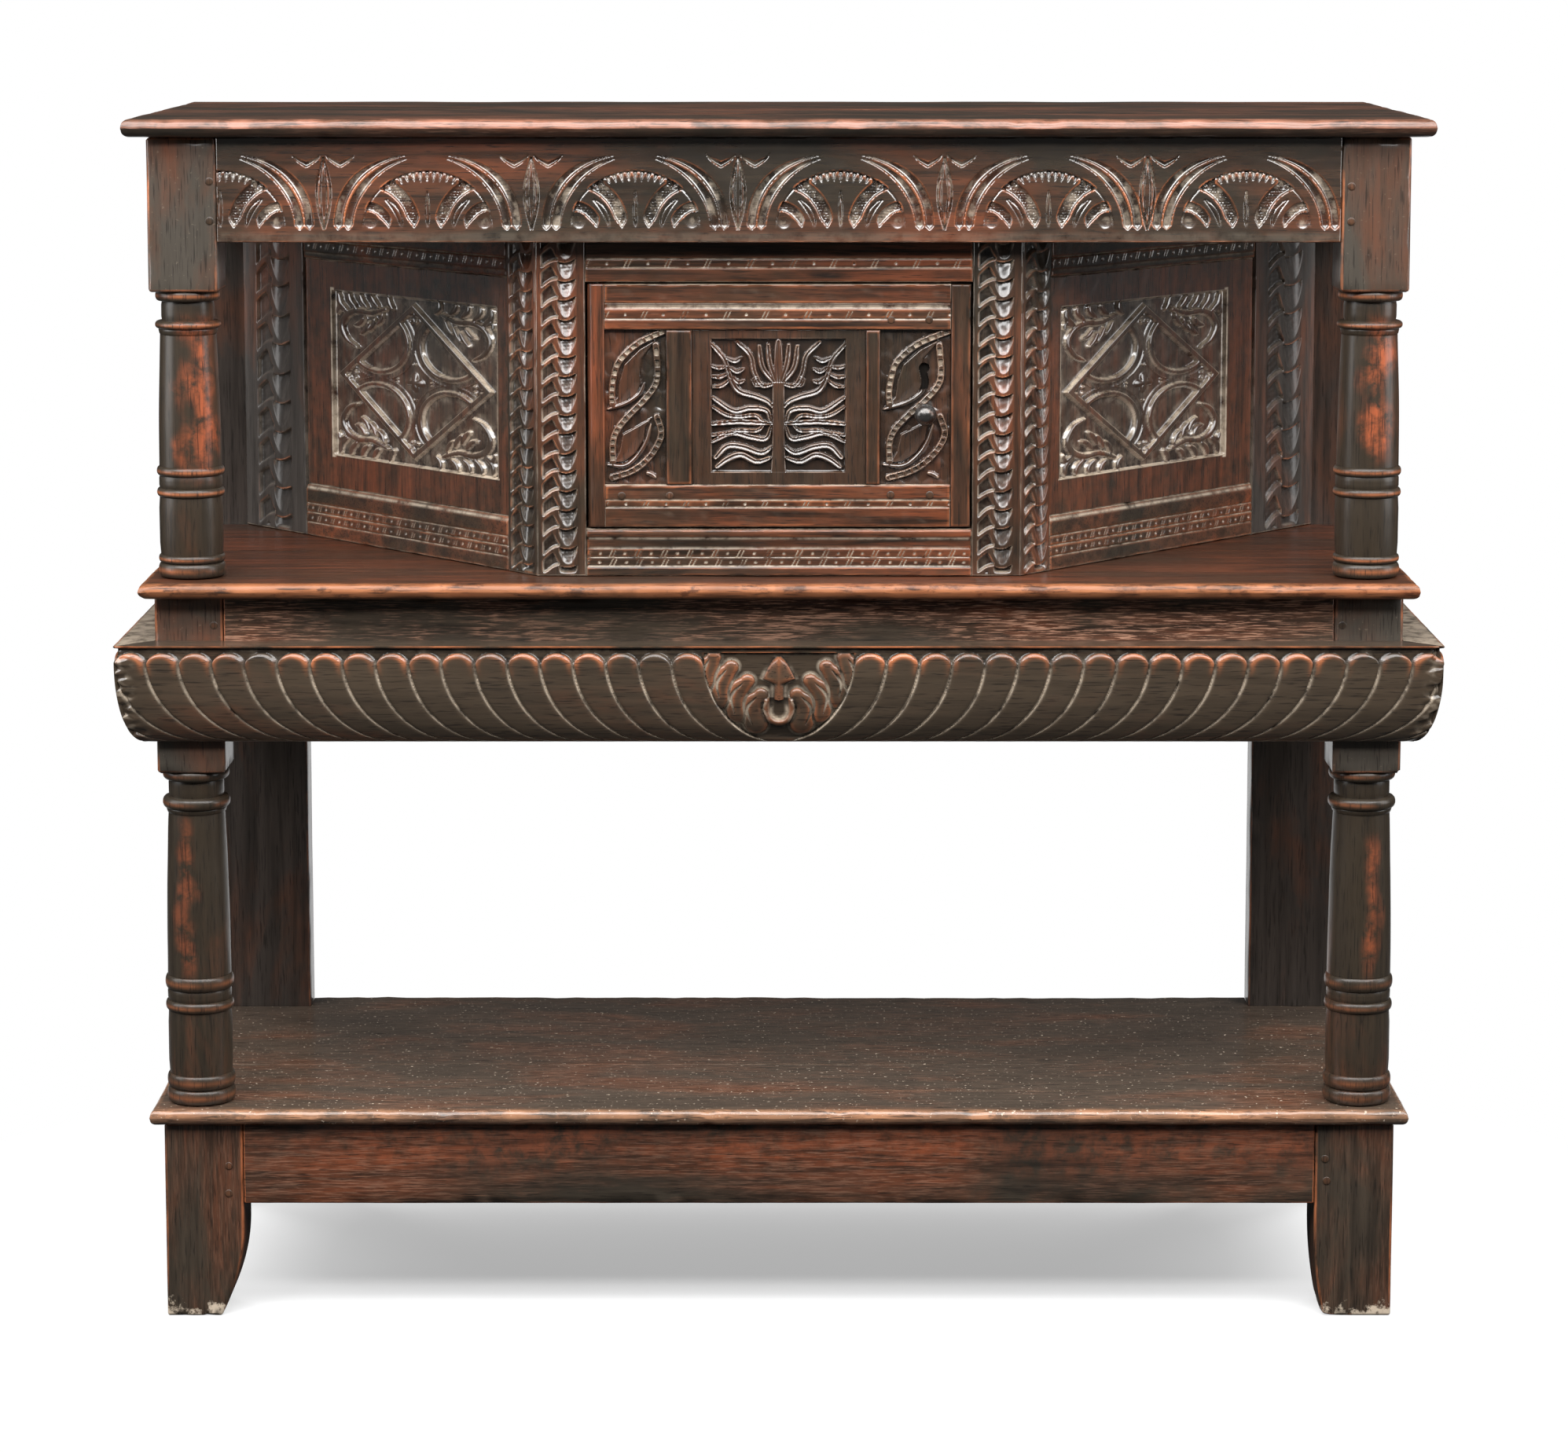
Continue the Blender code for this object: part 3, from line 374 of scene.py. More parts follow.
# Materials
class Graph:
    """Short way to add shader nodes and join them."""

    def __init__(self, name):
        self.material = bpy.data.materials.new(name)
        self.material.use_nodes = True
        self.tree = self.material.node_tree
        self.shader = self.tree.nodes["Principled BSDF"]

    def give(self, socket, value):
        if isinstance(value, bpy.types.NodeSocket):
            self.tree.links.new(value, socket)
        else:
            socket.default_value = value

    def add(self, kind, output, inputs, **settings):
        node = self.tree.nodes.new("ShaderNode" + kind)
        for key, value in settings.items():
            setattr(node, key, value)
        for key, value in inputs.items():
            self.give(node.inputs[key], value)
        return node.outputs[output]

    def noise(self, at, scale, detail=4.0, rough=0.55, twist=0.0):
        return self.add("TexNoise", 0, {"Vector": at, "Scale": scale, "Detail": detail,
                                        "Roughness": rough, "Distortion": twist})

    def stretch(self, at, scale):
        return self.add("Mapping", 0, {"Vector": at, "Scale": scale})

    def ramp(self, value, first, last, to_first=0.0, to_last=1.0):
        return self.add("MapRange", 0, {"Value": value, "From Min": first, "From Max": last,
                                        "To Min": to_first, "To Max": to_last})

    def maths(self, action, first, second):
        return self.add("Math", 0, {0: first, 1: second}, operation=action)

    def times(self, first, second):
        return self.maths("MULTIPLY", first, second)

    def mix(self, share, first, second):
        return self.add("Mix", 2, {0: share, 6: first, 7: second}, data_type="RGBA")

    def mark(self, name):
        return self.add("Attribute", 2, {}, attribute_name=name)

    def set(self, **values):
        for key, value in values.items():
            self.give(self.shader.inputs[key.replace("_", " ")], value)


def shade(red, green, blue):
    return (red, green, blue, 1.0)


BLACK = shade(0.0080, 0.0058, 0.0042)
DARK = shade(0.036, 0.0262, 0.0170)
BROWN = shade(0.105, 0.041, 0.0205)
RED = shade(0.270, 0.060, 0.0210)
WORN = shade(0.500, 0.160, 0.0620)
RUBBED = shade(0.340, 0.085, 0.0330)
TAN = shade(0.430, 0.235, 0.155)
# Cream for the panels' raised edges: worn wood and painted highlight
CREAM = shade(0.560, 0.420, 0.290)
PALE = shade(0.620, 0.510, 0.390)
FIBRE_STRETCH = 0.055       # grain noise along the grain, as a share of its scale across
PATCH_STRETCH = 0.4         # the same for patches and dents
OAK_ROUGH = 0.40            # under the wax


def oak(name, grain, dark=DARK, brown=BROWN, share=0.45, red=0.25, worn=WORN, worn_by=0.85, dust=0.0,
        streak=0.6, flecks=0.0, pale_below=0.0, sink=0.8, coat=0.5, coat_ior=1.6, coat_rough=0.17,
        specks=0.0, worn_from=0.38, nicks=0.0, holes=False):
    """Waxed old oak: dark patina, streaky grain along one axis, rubbed arrises, and hollows darkened with
    dirt and painted shade.
    """
    g = Graph(name)
    at = g.add("TexCoord", 3, {})

    def drawn(scale, share):
        return g.stretch(at, [scale * (share if axis == grain else 1.0) for axis in "XYZ"])

    fibres = g.noise(drawn(110, FIBRE_STRETCH), 1.0, 7.0, 0.62, 0.5)
    pores = g.noise(drawn(620, FIBRE_STRETCH), 1.0, 3.0, 0.5, 0.2)
    patches = g.noise(drawn(9.0, PATCH_STRETCH), 1.0, 6.0, 0.62, 0.5)
    spots = g.noise(at, 60.0, 4.0, 0.65, 0.2)
    body = g.mix(g.ramp(patches, 0.62 - share * 0.5, 0.80 - share * 0.35), dark, brown)
    body = g.mix(g.times(g.ramp(fibres, 0.38, 0.66), streak), body, BLACK)
    rubbed = g.times(g.ramp(patches, 0.48, 0.70), g.ramp(fibres, 0.60, 0.36))
    rubbed = g.times(rubbed, red)
    body = g.mix(rubbed, body, RED)
    patchy = g.times(g.ramp(spots, 0.36, 0.60), g.ramp(fibres, 0.68, 0.44, 0.25, 1.0))
    body = g.mix(g.times(g.mark("rub"), patchy), body, RUBBED)
    if flecks:
        fleck = g.noise(drawn(800, FIBRE_STRETCH), 1.0, 4.0, 0.6, 0.3)
        bald = g.times(g.ramp(fleck, 0.50, 0.60), g.ramp(patches, 0.40, 0.62))
        body = g.mix(g.times(bald, flecks), body, TAN)
    wear = g.times(g.mark("wear"), g.ramp(g.noise(at, 17.0, 5.0, 0.6), worn_from, worn_from + 0.26))
    if nicks:
        dents = g.noise(drawn(75, PATCH_STRETCH), 1.0, 5.0, 0.7)
        wear = g.times(wear, g.ramp(dents, 0.38, 0.47, 1 - nicks, 1.0))
    body = g.mix(g.times(wear, worn_by), body, worn)
    # The sunk mark takes the colour towards black: dirt and painted shade in hollows, painted shade under
    # the top board and in the keyhole
    body = g.mix(g.times(g.mark("sunk"), sink), body, BLACK)
    # Pale dust in hollows, partly a painted sheen where the hollows catch the light
    if dust:
        dirt = g.times(g.ramp(spots, 0.46, 0.68), g.ramp(g.mark("sunk"), 0.10, 0.5))
        body = g.mix(g.times(dirt, dust), body, PALE)
    body = g.mix(g.times(g.ramp(pores, 0.56, 0.66), 0.7), body, BLACK)
    if specks:
        speck = g.ramp(g.noise(at, 240.0, 2.0, 0.5), 0.66, 0.74)
        body = g.mix(g.times(speck, specks), body, PALE)
    if pale_below:
        height = g.add("SeparateXYZ", 2, {0: at})
        ragged = g.ramp(g.noise(at, 55.0, 6.0, 0.75), 0.3, 0.7, 0.020, -0.012)
        body = g.mix(g.ramp(g.maths("ADD", height, ragged), pale_below, pale_below * 0.4), body, PALE)
    stripped = g.times(g.mark("bare"), g.ramp(spots, 0.32, 0.56))
    body = g.mix(stripped, body, PALE)
    gloss = g.ramp(g.noise(at, 34.0, 5.0, 0.65), 0.25, 0.75, OAK_ROUGH - 0.07, OAK_ROUGH + 0.10)
    gloss = g.maths("ADD", gloss, g.ramp(pores, 0.5, 0.7, 0.0, 0.12))
    surface = g.maths("ADD", g.times(fibres, 0.55), g.times(pores, 0.30))
    surface = g.maths("ADD", surface, g.times(spots, 0.35))
    bump = g.add("Bump", 0, {"Height": surface, "Strength": 0.5, "Distance": 0.45 * MM})
    # With holes, a hole painted black as its shade has no wax, so it stays matt
    waxed = g.ramp(g.mark("sunk"), 1.2, 1.8, coat, 0.0) if holes else coat
    g.set(Base_Color=body, Roughness=gloss, Normal=bump, Specular_IOR_Level=0.22, Coat_Weight=waxed,
          Coat_Roughness=coat_rough, Coat_IOR=coat_ior)
    return g.material


def iron(name, rough=0.3, body=shade(0.055, 0.052, 0.050)):
    """Hand-forged iron, darkened and rubbed bright in places."""
    g = Graph(name)
    at = g.add("TexCoord", 3, {})
    pits = g.noise(at, 260.0, 5.0, 0.6)
    rust = g.noise(at, 55.0, 4.0, 0.6)
    colour = g.mix(g.ramp(rust, 0.52, 0.70), body, shade(0.060, 0.030, 0.018))
    gloss = g.ramp(pits, 0.3, 0.7, rough - 0.08, rough + 0.14)
    bump = g.add("Bump", 0, {"Height": pits, "Strength": 0.35, "Distance": 0.3 * MM})
    g.set(Base_Color=colour, Metallic=0.85, Roughness=gloss, Normal=bump)
    return g.material


OAK_X = oak("oak_level", "X")
OAK_Y = oak("oak_level_side", "Y")
CANT_RAIL_OAK = oak("cant_rail", "X", share=0.45, red=0.50, dust=0.30, sink=0.35, coat_ior=1.7)
CARVED_X = oak("carved_level", "X", share=0.40, red=0.40, dust=0.45, sink=0.35, coat=1.0, coat_ior=2.0)
CARVED_Z = oak("carved_upright", "Z", share=0.45, red=0.45, worn=shade(0.460, 0.170, 0.075), worn_by=0.8,
               dust=0.1, sink=0.6, coat=0.75, coat_ior=1.8)
# A lighter, greyer copy of the upright oak for the rear stiles: painted light and sheen where the lamps
# reach them less
REAR_STILE_OAK = oak("rear_stile_oak", "Z", dark=shade(0.052, 0.043, 0.037), share=0.30, red=0.20,
                     worn_by=0.6, sink=0.6, coat=0.4, coat_rough=0.28)
# Cream on the panels' raised edges and pale dust in their hollows: wear and dust, with painted highlight in
# both
PANEL_OAK = oak("panel_oak", "Z", share=0.50, red=0.40, worn=CREAM, worn_by=0.9, dust=0.25, sink=0.6,
                coat=1.0, coat_ior=2.0)
# holes keeps the keyhole's painted shade matt
DOOR_PANEL_OAK = oak("door_panel_oak", "Z", share=0.55, red=0.35, worn=shade(0.500, 0.330, 0.230),
                     worn_by=0.7, sink=0.6, coat=1.0, coat_ior=2.0, holes=True)
# A lighter, greyer dark for the blocks: a painted sheen
BLOCK_OAK = oak("block_oak", "Z", dark=shade(0.064, 0.054, 0.043), share=0.35, streak=0.2,
                worn_from=0.42, specks=0.08)
PILLAR_OAK = oak("pillar_oak", "Z", share=0.15, red=0.10, streak=0.4, coat=0.35, coat_rough=0.26)
TOP_OAK = oak("top_oak", "X", red=0.5, flecks=0.3, worn=shade(0.360, 0.150, 0.095), worn_from=0.25,
              coat=0.6, coat_rough=0.22, nicks=0.6)
SHELF_OAK = oak("shelf_oak", "X", brown=shade(0.072, 0.026, 0.0125), share=0.80, red=0.4,
                worn=shade(0.390, 0.145, 0.060), worn_by=1.0, worn_from=0.20, coat=0.25, coat_rough=0.24,
                nicks=0.8)
# A lighter dark for the lower shelf: a painted sheen for the reflection in its wax
LOW_SHELF_OAK = oak("low_shelf_oak", "X", dark=shade(0.078, 0.056, 0.040), worn=shade(0.480, 0.230, 0.120),
                    share=0.25, red=0.10, flecks=0.35, streak=0.3, specks=0.8, coat=0.8, worn_from=0.28,
                    nicks=0.7)
RAIL_OAK = oak("rail_oak", "X", dark=shade(0.050, 0.037, 0.025), share=0.35, streak=0.7, flecks=1.0)
GADROON_OAK = oak("gadroon_oak", "X", dark=shade(0.061, 0.043, 0.028), share=0.15, red=0.15, streak=0.4,
                  dust=0.12, coat=0.7)
DOOR_OAK_X = oak("door_level", "X", share=0.58, red=0.65, streak=0.9)
DOOR_OAK_Z = oak("door_upright", "Z", share=0.75, red=0.8, streak=0.8)
FOOT_OAK = oak("foot_oak", "Z", dark=shade(0.054, 0.040, 0.028), share=0.38, red=0.45, flecks=0.15,
               pale_below=0.013)
BASE_OAK = oak("base_oak", "X", dark=shade(0.044, 0.034, 0.024), share=0.40, red=0.40, streak=0.7,
               flecks=0.25)
POST_OAK = oak("post_oak", "Z", dark=shade(0.046, 0.036, 0.030), share=0.25, red=0.10)
MUNTIN_OAK = oak("muntin_oak", "Z", share=0.50, red=0.35, streak=0.8)
IRON = iron("forged_iron")
KNOB_IRON = iron("knob_iron", 0.22, shade(0.120, 0.115, 0.110))


# Camera, light and floor
CAMERA_AT = (0.005, -4.413, 1.3678)
CAMERA_PITCH = math.radians(7.372)
CAMERA_LENS = 98.7
CAMERA_SENSOR = 36.0
CAMERA_SHIFT = -0.14
SKY_STRENGTH = 0.05
FLOOR_HALF = 9.0
WHITE = (1, 1, 1, 1)


def aim_camera():
    data = bpy.data.cameras.new("camera")
    data.lens = CAMERA_LENS
    data.sensor_width = CAMERA_SENSOR
    data.shift_y = CAMERA_SHIFT
    camera = bpy.data.objects.new("camera", data)
    camera.location = CAMERA_AT
    camera.rotation_euler = (math.pi / 2 - CAMERA_PITCH, 0, 0)
    bpy.context.scene.collection.objects.link(camera)
    bpy.context.scene.camera = camera
    bpy.context.scene.view_settings.view_transform = "Standard"


def soft_light(name, at, aim, size, power, mirrored=True):
    """A rectangular lamp; one that is not mirrored only fills and leaves no glare in the wax."""
    data = bpy.data.lights.new(name, "AREA")
    data.shape = "RECTANGLE"
    data.size, data.size_y = size
    data.energy = power
    lamp = bpy.data.objects.new(name, data)
    lamp.location = at
    direction = np.asarray(aim, float) - np.asarray(at, float)
    lamp.rotation_euler = Vector(direction).to_track_quat("-Z", "Y").to_euler()
    lamp.visible_glossy = mirrored
    bpy.context.scene.collection.objects.link(lamp)


def lights():
    """Lamps before, above and beside the object, and two behind it that only fill."""
    soft_light("front", (-0.1, -2.6, 2.6), (0, -0.2, 0.8), (4.6, 0.6), 90)
    soft_light("above", (0.0, -1.6, 3.6), (0, -0.1, 0.9), (2.6, 1.6), 104)
    for side, sign in (("left", -1), ("right", 1)):
        soft_light(f"side_{side}", (sign * 1.95, -1.65, 2.85), (0, -0.1, 0.8), (1.5, 1.5), 58)
        soft_light(f"wing_{side}", (sign * 2.48, -0.57, 1.44), (sign * 0.35, 0, 0.95), (1.2, 1.6), 26)
        soft_light(f"rear_{side}", (sign * 2.2, 1.9, 1.5), (sign * 0.4, 0, 0.7), (0.8, 2.0), 42, False)


def studio_world():
    """White where the camera looks past the object, and a faint sky for all other light."""
    world = bpy.data.worlds.new("studio")
    world.use_nodes = True
    bpy.context.scene.world = world
    tree = world.node_tree
    sky = tree.nodes["Background"]
    seen = tree.nodes.new("ShaderNodeBackground")
    for background, strength in ((seen, 1.0), (sky, SKY_STRENGTH)):
        background.inputs["Color"].default_value = WHITE
        background.inputs["Strength"].default_value = strength
    path = tree.nodes.new("ShaderNodeLightPath")
    choose = tree.nodes.new("ShaderNodeMixShader")
    for source, target in ((path.outputs["Is Camera Ray"], choose.inputs[0]),
                           (sky.outputs[0], choose.inputs[1]),
                           (seen.outputs[0], choose.inputs[2]),
                           (choose.outputs[0], tree.nodes["World Output"].inputs[0])):
        tree.links.new(source, target)


def floor_material():
    """Pale matt floor that keeps a soft shadow near the object and is white further off."""
    g = Graph("studio_floor")
    at = g.add("TexCoord", 3, {})
    path = g.tree.nodes.new("ShaderNodeLightPath")
    camera_ray, glossy_ray, through = (path.outputs[f"Is {kind} Ray"]
                                       for kind in ("Camera", "Glossy", "Transmission"))
    grain = g.ramp(g.noise(at, 3.0, 3.0), 0.3, 0.7, 0.97, 1.0)
    tint = g.times(grain, g.ramp(camera_ray, 0.0, 1.0, 0.04, 0.90))
    g.set(Base_Color=g.add("CombineColor", 0, {0: tint, 1: tint, 2: tint}), Roughness=0.9,
          Specular_IOR_Level=0.0)
    away = g.add("VectorMath", 1, {0: g.stretch(at, (1 / 1.05, 1 / 0.85, 0.0))}, operation="LENGTH")
    white = g.ramp(away, 0.45, 1.0, 0.42, 1.0)
    behind = g.ramp(g.add("SeparateXYZ", 1, {0: at}), 0.3, 1.0)
    beside = g.ramp(g.maths("ABSOLUTE", g.add("SeparateXYZ", 0, {0: at}), 0.0), 1.6, 1.0)
    mirrored = g.times(g.maths("ADD", glossy_ray, through), g.times(behind, beside))
    looked_at = g.add("Math", 0, {0: camera_ray, 1: mirrored}, operation="ADD", use_clamp=True)
    glow = g.add("Emission", 0, {"Color": WHITE, "Strength": 1.0})
    both = g.add("MixShader", 0, {0: g.times(looked_at, white), 1: g.shader.outputs[0], 2: glow})
    g.give(g.tree.nodes["Material Output"].inputs["Surface"], both)
    return g.material


def studio_floor():
    half = FLOOR_HALF
    corners = [(-half, -half, 0), (half, -half, 0), (half, half, 0), (-half, half, 0)]
    floor = make_object("studio_floor", corners, [np.array([[0, 1, 2, 3]])])
    floor.data.materials.append(floor_material())


aim_camera()
lights()
studio_world()
studio_floor()


# Carved work on the flat
def front_face(x, y, z):
    """Origin and directions of a face that looks to the front."""
    return (np.array((x, y, z)), X, Z)


def arch_distance(x, y, wide, tall, power):
    """Distance from an arch of a given half-width, height and squareness, and the angle up it."""
    across, up = np.abs(x) / wide, np.maximum(y, 0) / tall
    size = (across ** power + up ** power) ** (1 / power)
    return (size - 1) * (wide + tall) / 2, np.arctan2(up, across)


# The frieze in millimetres: flutes on an arch's shoulders (half-width, height and squareness of the arch
# they follow) and punched bands inside it (radius about the eye, half-width, depth)
SHOULDER_FLUTES = ((77.5, 71.5, 2.0), (87.0, 73.5, 2.3))
CURLED_BANDS = ((22, 4.9, 2.6), (47, 6.2, 2.9))
ARCHES = (-0.546, -0.3435, -0.1405, 0.0600, 0.2630, 0.4560)
SPRINGING = 12.5 * MM
ARCH_REACH = 0.098          # half the width that one arch and its shoulders can cut
DART_REACH = 0.036


def shoulder_flutes(x, y):
    """Flutes round an arch, wide at its foot and tapering towards its crown."""
    level = np.zeros(x.shape)
    for wide, tall, power in SHOULDER_FLUTES:
        away, rise = arch_distance(x, y, wide * MM, tall * MM, power)
        taper = step_between(rise, -0.02, 0.07) * step_between(1.36 - rise, 0.0, 0.9) ** 0.6
        flute = hollow(away, 4.0 * MM * taper + HAIR, 3.4 * MM * np.sqrt(taper))
        level = np.minimum(level, np.where(y > 0, flute, 0))
    return level


def inside_arch(x, y):
    """Punched bands that curl about an eye, leaves between them, a slit and a fan of teeth."""
    away, _ = arch_distance(x, y, 64 * MM, 58 * MM, 2.0)
    rim = -away
    tips = step_between(y, 1 * MM, 7 * MM)
    deep = notch(rim - 0.9 * MM, 1.0 * MM, 1.2 * MM) * tips
    eye_x, eye_y = 60 * MM - x, np.maximum(y - 1 * MM, 0)
    curl = np.hypot(eye_x, eye_y)
    arc = curl * np.arctan2(eye_y, eye_x)
    taper = step_between(arc, 0, 13 * MM) ** 0.7
    for ring, half, depth in CURLED_BANDS:
        within = half * MM * taper - np.abs(curl - ring * MM)
        floor = unit(within / (1.7 * MM))
        punched = np.where(within > 2.2 * MM, 0.8 * stippled(x, y, 71), 0)
        deep = deep - depth * MM * floor * (2 - floor) + punched
    leaf = 2.3 * MM * np.sin(unit(arc / (34 * MM)) * math.pi) ** 0.8
    outline = notch(np.abs(curl - 34.5 * MM) - leaf, 1.0 * MM, 1.4 * MM) * tips
    deep = deep + np.where(arc < 34 * MM, outline, 0)
    scoop = np.hypot((x - 55.5 * MM) / (7.5 * MM), (y - 9.5 * MM) / (9.0 * MM))
    deep = deep - 1.5 * MM * unit(1 - scoop ** 2)
    slit = 1.8 * MM * np.sin(unit(y / (38 * MM)) * math.pi)
    deep = deep + np.where(y < 38 * MM, notch(x - slit, 1.0 * MM, 1.5 * MM), 0) * tips
    fan = np.arctan2(x, y + 20 * MM)
    tooth = np.abs((fan / 0.090 + 0.5) % 1.0 - 0.5) * 7.0 * MM
    taper = unit(1 - rim / ((13 - 11 * fan) * MM)) * step_between(rim, 0, 1.5 * MM) * (fan < 0.63)
    deep = deep + hollow(tooth, 2.7 * MM * taper + HAIR, 3.0 * MM * np.sqrt(taper))
    deep = np.maximum(deep, -4.8 * MM) * step_between(y, 0, 2 * MM)
    return np.where((rim > 0) & (y > 0), deep, 0)


def lunette(u, v, centre, foot):
    """One arch of the frieze: plain band, fluted shoulders, and curled bands inside it."""
    x, y = np.abs(u - centre), v - foot
    return np.minimum(shoulder_flutes(x, y), inside_arch(x, y))


def dart(u, v, centre, foot):
    """Pointed lens between two arches, with a pair of wing cuts above it."""
    x, y = np.abs(u - centre), v - foot
    tall = 71 * MM
    swell = np.sin(unit(y / tall) * math.pi)
    level = np.zeros(u.shape)
    for width, half, depth in ((6.8 * MM, 1.5 * MM, 2.2 * MM), (3.0 * MM, 1.1 * MM, 1.6 * MM)):
        level = level + np.where((y > 0) & (y < tall), notch(x - width * swell, half, depth), 0)
    bow = unit(1 - np.abs(x - 16.5 * MM) / (14.5 * MM)) ** 0.6
    wing = hollow(y - 74.5 * MM + 11 * MM * bow, 2.7 * MM * bow + HAIR, 2.8 * MM * np.sqrt(bow))
    return np.minimum(level, np.where(bow > 0, wing, 0))


def frieze_carving(u, v):
    """Arches side by side, with a dart between each two."""
    x = u - BLOCK_INNER
    level = np.zeros(u.shape)
    for centre in ARCHES:
        near = np.abs(x - centre) < ARCH_REACH
        level[near] = np.minimum(level[near], lunette(x[near], v[near], centre, SPRINGING))
    for first, last in zip(ARCHES, ARCHES[1:]):
        middle = (first + last) / 2
        near = np.abs(x - middle) < DART_REACH
        level[near] = np.minimum(level[near], dart(x[near], v[near], middle, SPRINGING))
    return level


def wave_carving(width, pitch, first, last, depth, seed):
    """Stacked S-shaped ridges: hollows with steep lips on their left, U-shaped scoops on their right."""
    turn = 0.48

    def carve(u, v):
        share = unit((u / width - first) / (last - first))
        left = share < turn
        right = unit((share - turn) / (1 - turn))
        line = np.where(left, 0.5 * np.sin(math.pi / 2 * unit(share / turn)),
                        0.5 - 0.10 * np.sin(math.pi * right) + 0.14 * right ** 2)
        drift = 0.05 * wobble(u, v, 0.05, seed)
        within = (v / pitch - line + drift) % 1.0
        ridge = 0.16 + 0.60 * step_between(share, 0.28, turn)
        lipped = step_between(within, 0, 0.17) * step_between(1 - ridge - within, 0, 0.12)
        lipped = 0.8 * lipped * step_between(share, 0, 0.07)
        beside = np.abs(2 * right - 1)
        lip = 0.15 + 0.60 * beside ** 2.5
        scoop = unit((within - lip) / (1 - lip)) ** 0.85
        scoop = scoop * step_between(1 - within, 0, 0.05) * np.sqrt(1 - beside ** 4)
        gouged = 1 + 0.03 * wobble(u, v, 6 * MM, seed + 2)
        return -depth * np.where(left, lipped, scoop) * gouged * step_between(v, 2 * MM, 6 * MM)
    return carve


def ticked_strip(u, v, middle, half, pitch, seed):
    """Pairs of slanting ticks with punched dots between them, along a level strip."""
    drift = u + 2.5 * MM * wobble(u, 0 * u, 0.15, seed)
    at = drift - pitch * np.round(drift / pitch)
    rise = v - middle
    level = np.zeros(u.shape)
    for shift in (-1.9 * MM, 1.9 * MM):
        cut = notch(at - shift - 0.5 * rise, 0.8 * MM, 0.9 * MM)
        level = level + np.where(np.abs(rise) < half, cut, 0)
    between = drift - pitch * (np.floor(drift / pitch) + 0.5)
    return level + hollow(np.hypot(between, rise), 1.4 * MM, 1.2 * MM)


def stippled(u, v, seed):
    """Ground beaten with a small punch."""
    cell = 2.6 * MM
    row = np.floor(v / cell)
    shift = 0.5 * (row % 2)
    du = (u / cell + shift) % 1.0 - 0.5 + 0.22 * wobble(u, v, 6 * MM, seed)
    dv = (v / cell) % 1.0 - 0.5 + 0.22 * wobble(v, u, 6 * MM, seed + 1)
    return hollow(np.hypot(du, dv), 0.40, 0.8 * MM)


def inside_outline(u, v, outline):
    """True where a point lies within a closed outline."""
    within = np.zeros(u.shape, bool)
    for (ax, ay), (bx, by) in zip(outline, np.roll(outline, -1, axis=0)):
        crosses = (ay > v) != (by > v)
        if ay != by:
            within ^= crosses & (u < (bx - ax) * (v - ay) / (by - ay) + ax)
    return within


def raise_stroke(level, u, v, points, width, height, ground, fluted=0.0):
    """Lay a tapering leaf or stem on a sunk ground: rounded, or round-edged with a gouged middle."""
    distance, share = along_line(u, v, curve(points, 7))
    half = width / 2 * (0.35 + 0.65 * dome(1.9 * share - 1.0))
    if fluted:
        ease = 0.5 * half
        outer = unit((distance - half + ease) / ease)
        ridge = dome(outer) * (distance < half)
        ridge = ridge * (1 - fluted * unit(1 - distance / ease))
    else:
        ridge = dome(distance / half) ** 0.8
    return np.maximum(level, ground + height * ridge)


# Strokes of the leaf in a corner of the lozenge's field, as shares of the half field, with their widths
SPRAY = (
    (((0.70, 0.34), (0.83, 0.42), (0.90, 0.57), (0.84, 0.71), (0.70, 0.78), (0.52, 0.77), (0.34, 0.84)),
     0.085),
    (((0.80, 0.98), (0.79, 0.90), (0.72, 0.82)), 0.075), (((0.66, 0.98), (0.64, 0.90), (0.58, 0.84)), 0.075),
    (((0.52, 0.98), (0.49, 0.91), (0.44, 0.86)), 0.075), (((0.31, 0.99), (0.30, 0.91), (0.26, 0.85)), 0.075),
    (((0.93, 0.97), (0.92, 0.86), (0.84, 0.78)), 0.080), (((0.95, 0.72), (0.93, 0.80), (0.86, 0.76)), 0.060),
    (((0.74, 0.60), (0.67, 0.63), (0.62, 0.70)), 0.070), (((0.66, 0.50), (0.60, 0.56), (0.56, 0.65)), 0.070),
    (((0.56, 0.55), (0.51, 0.62), (0.48, 0.70)), 0.065), (((0.46, 0.63), (0.41, 0.69), (0.38, 0.77)), 0.060),
)


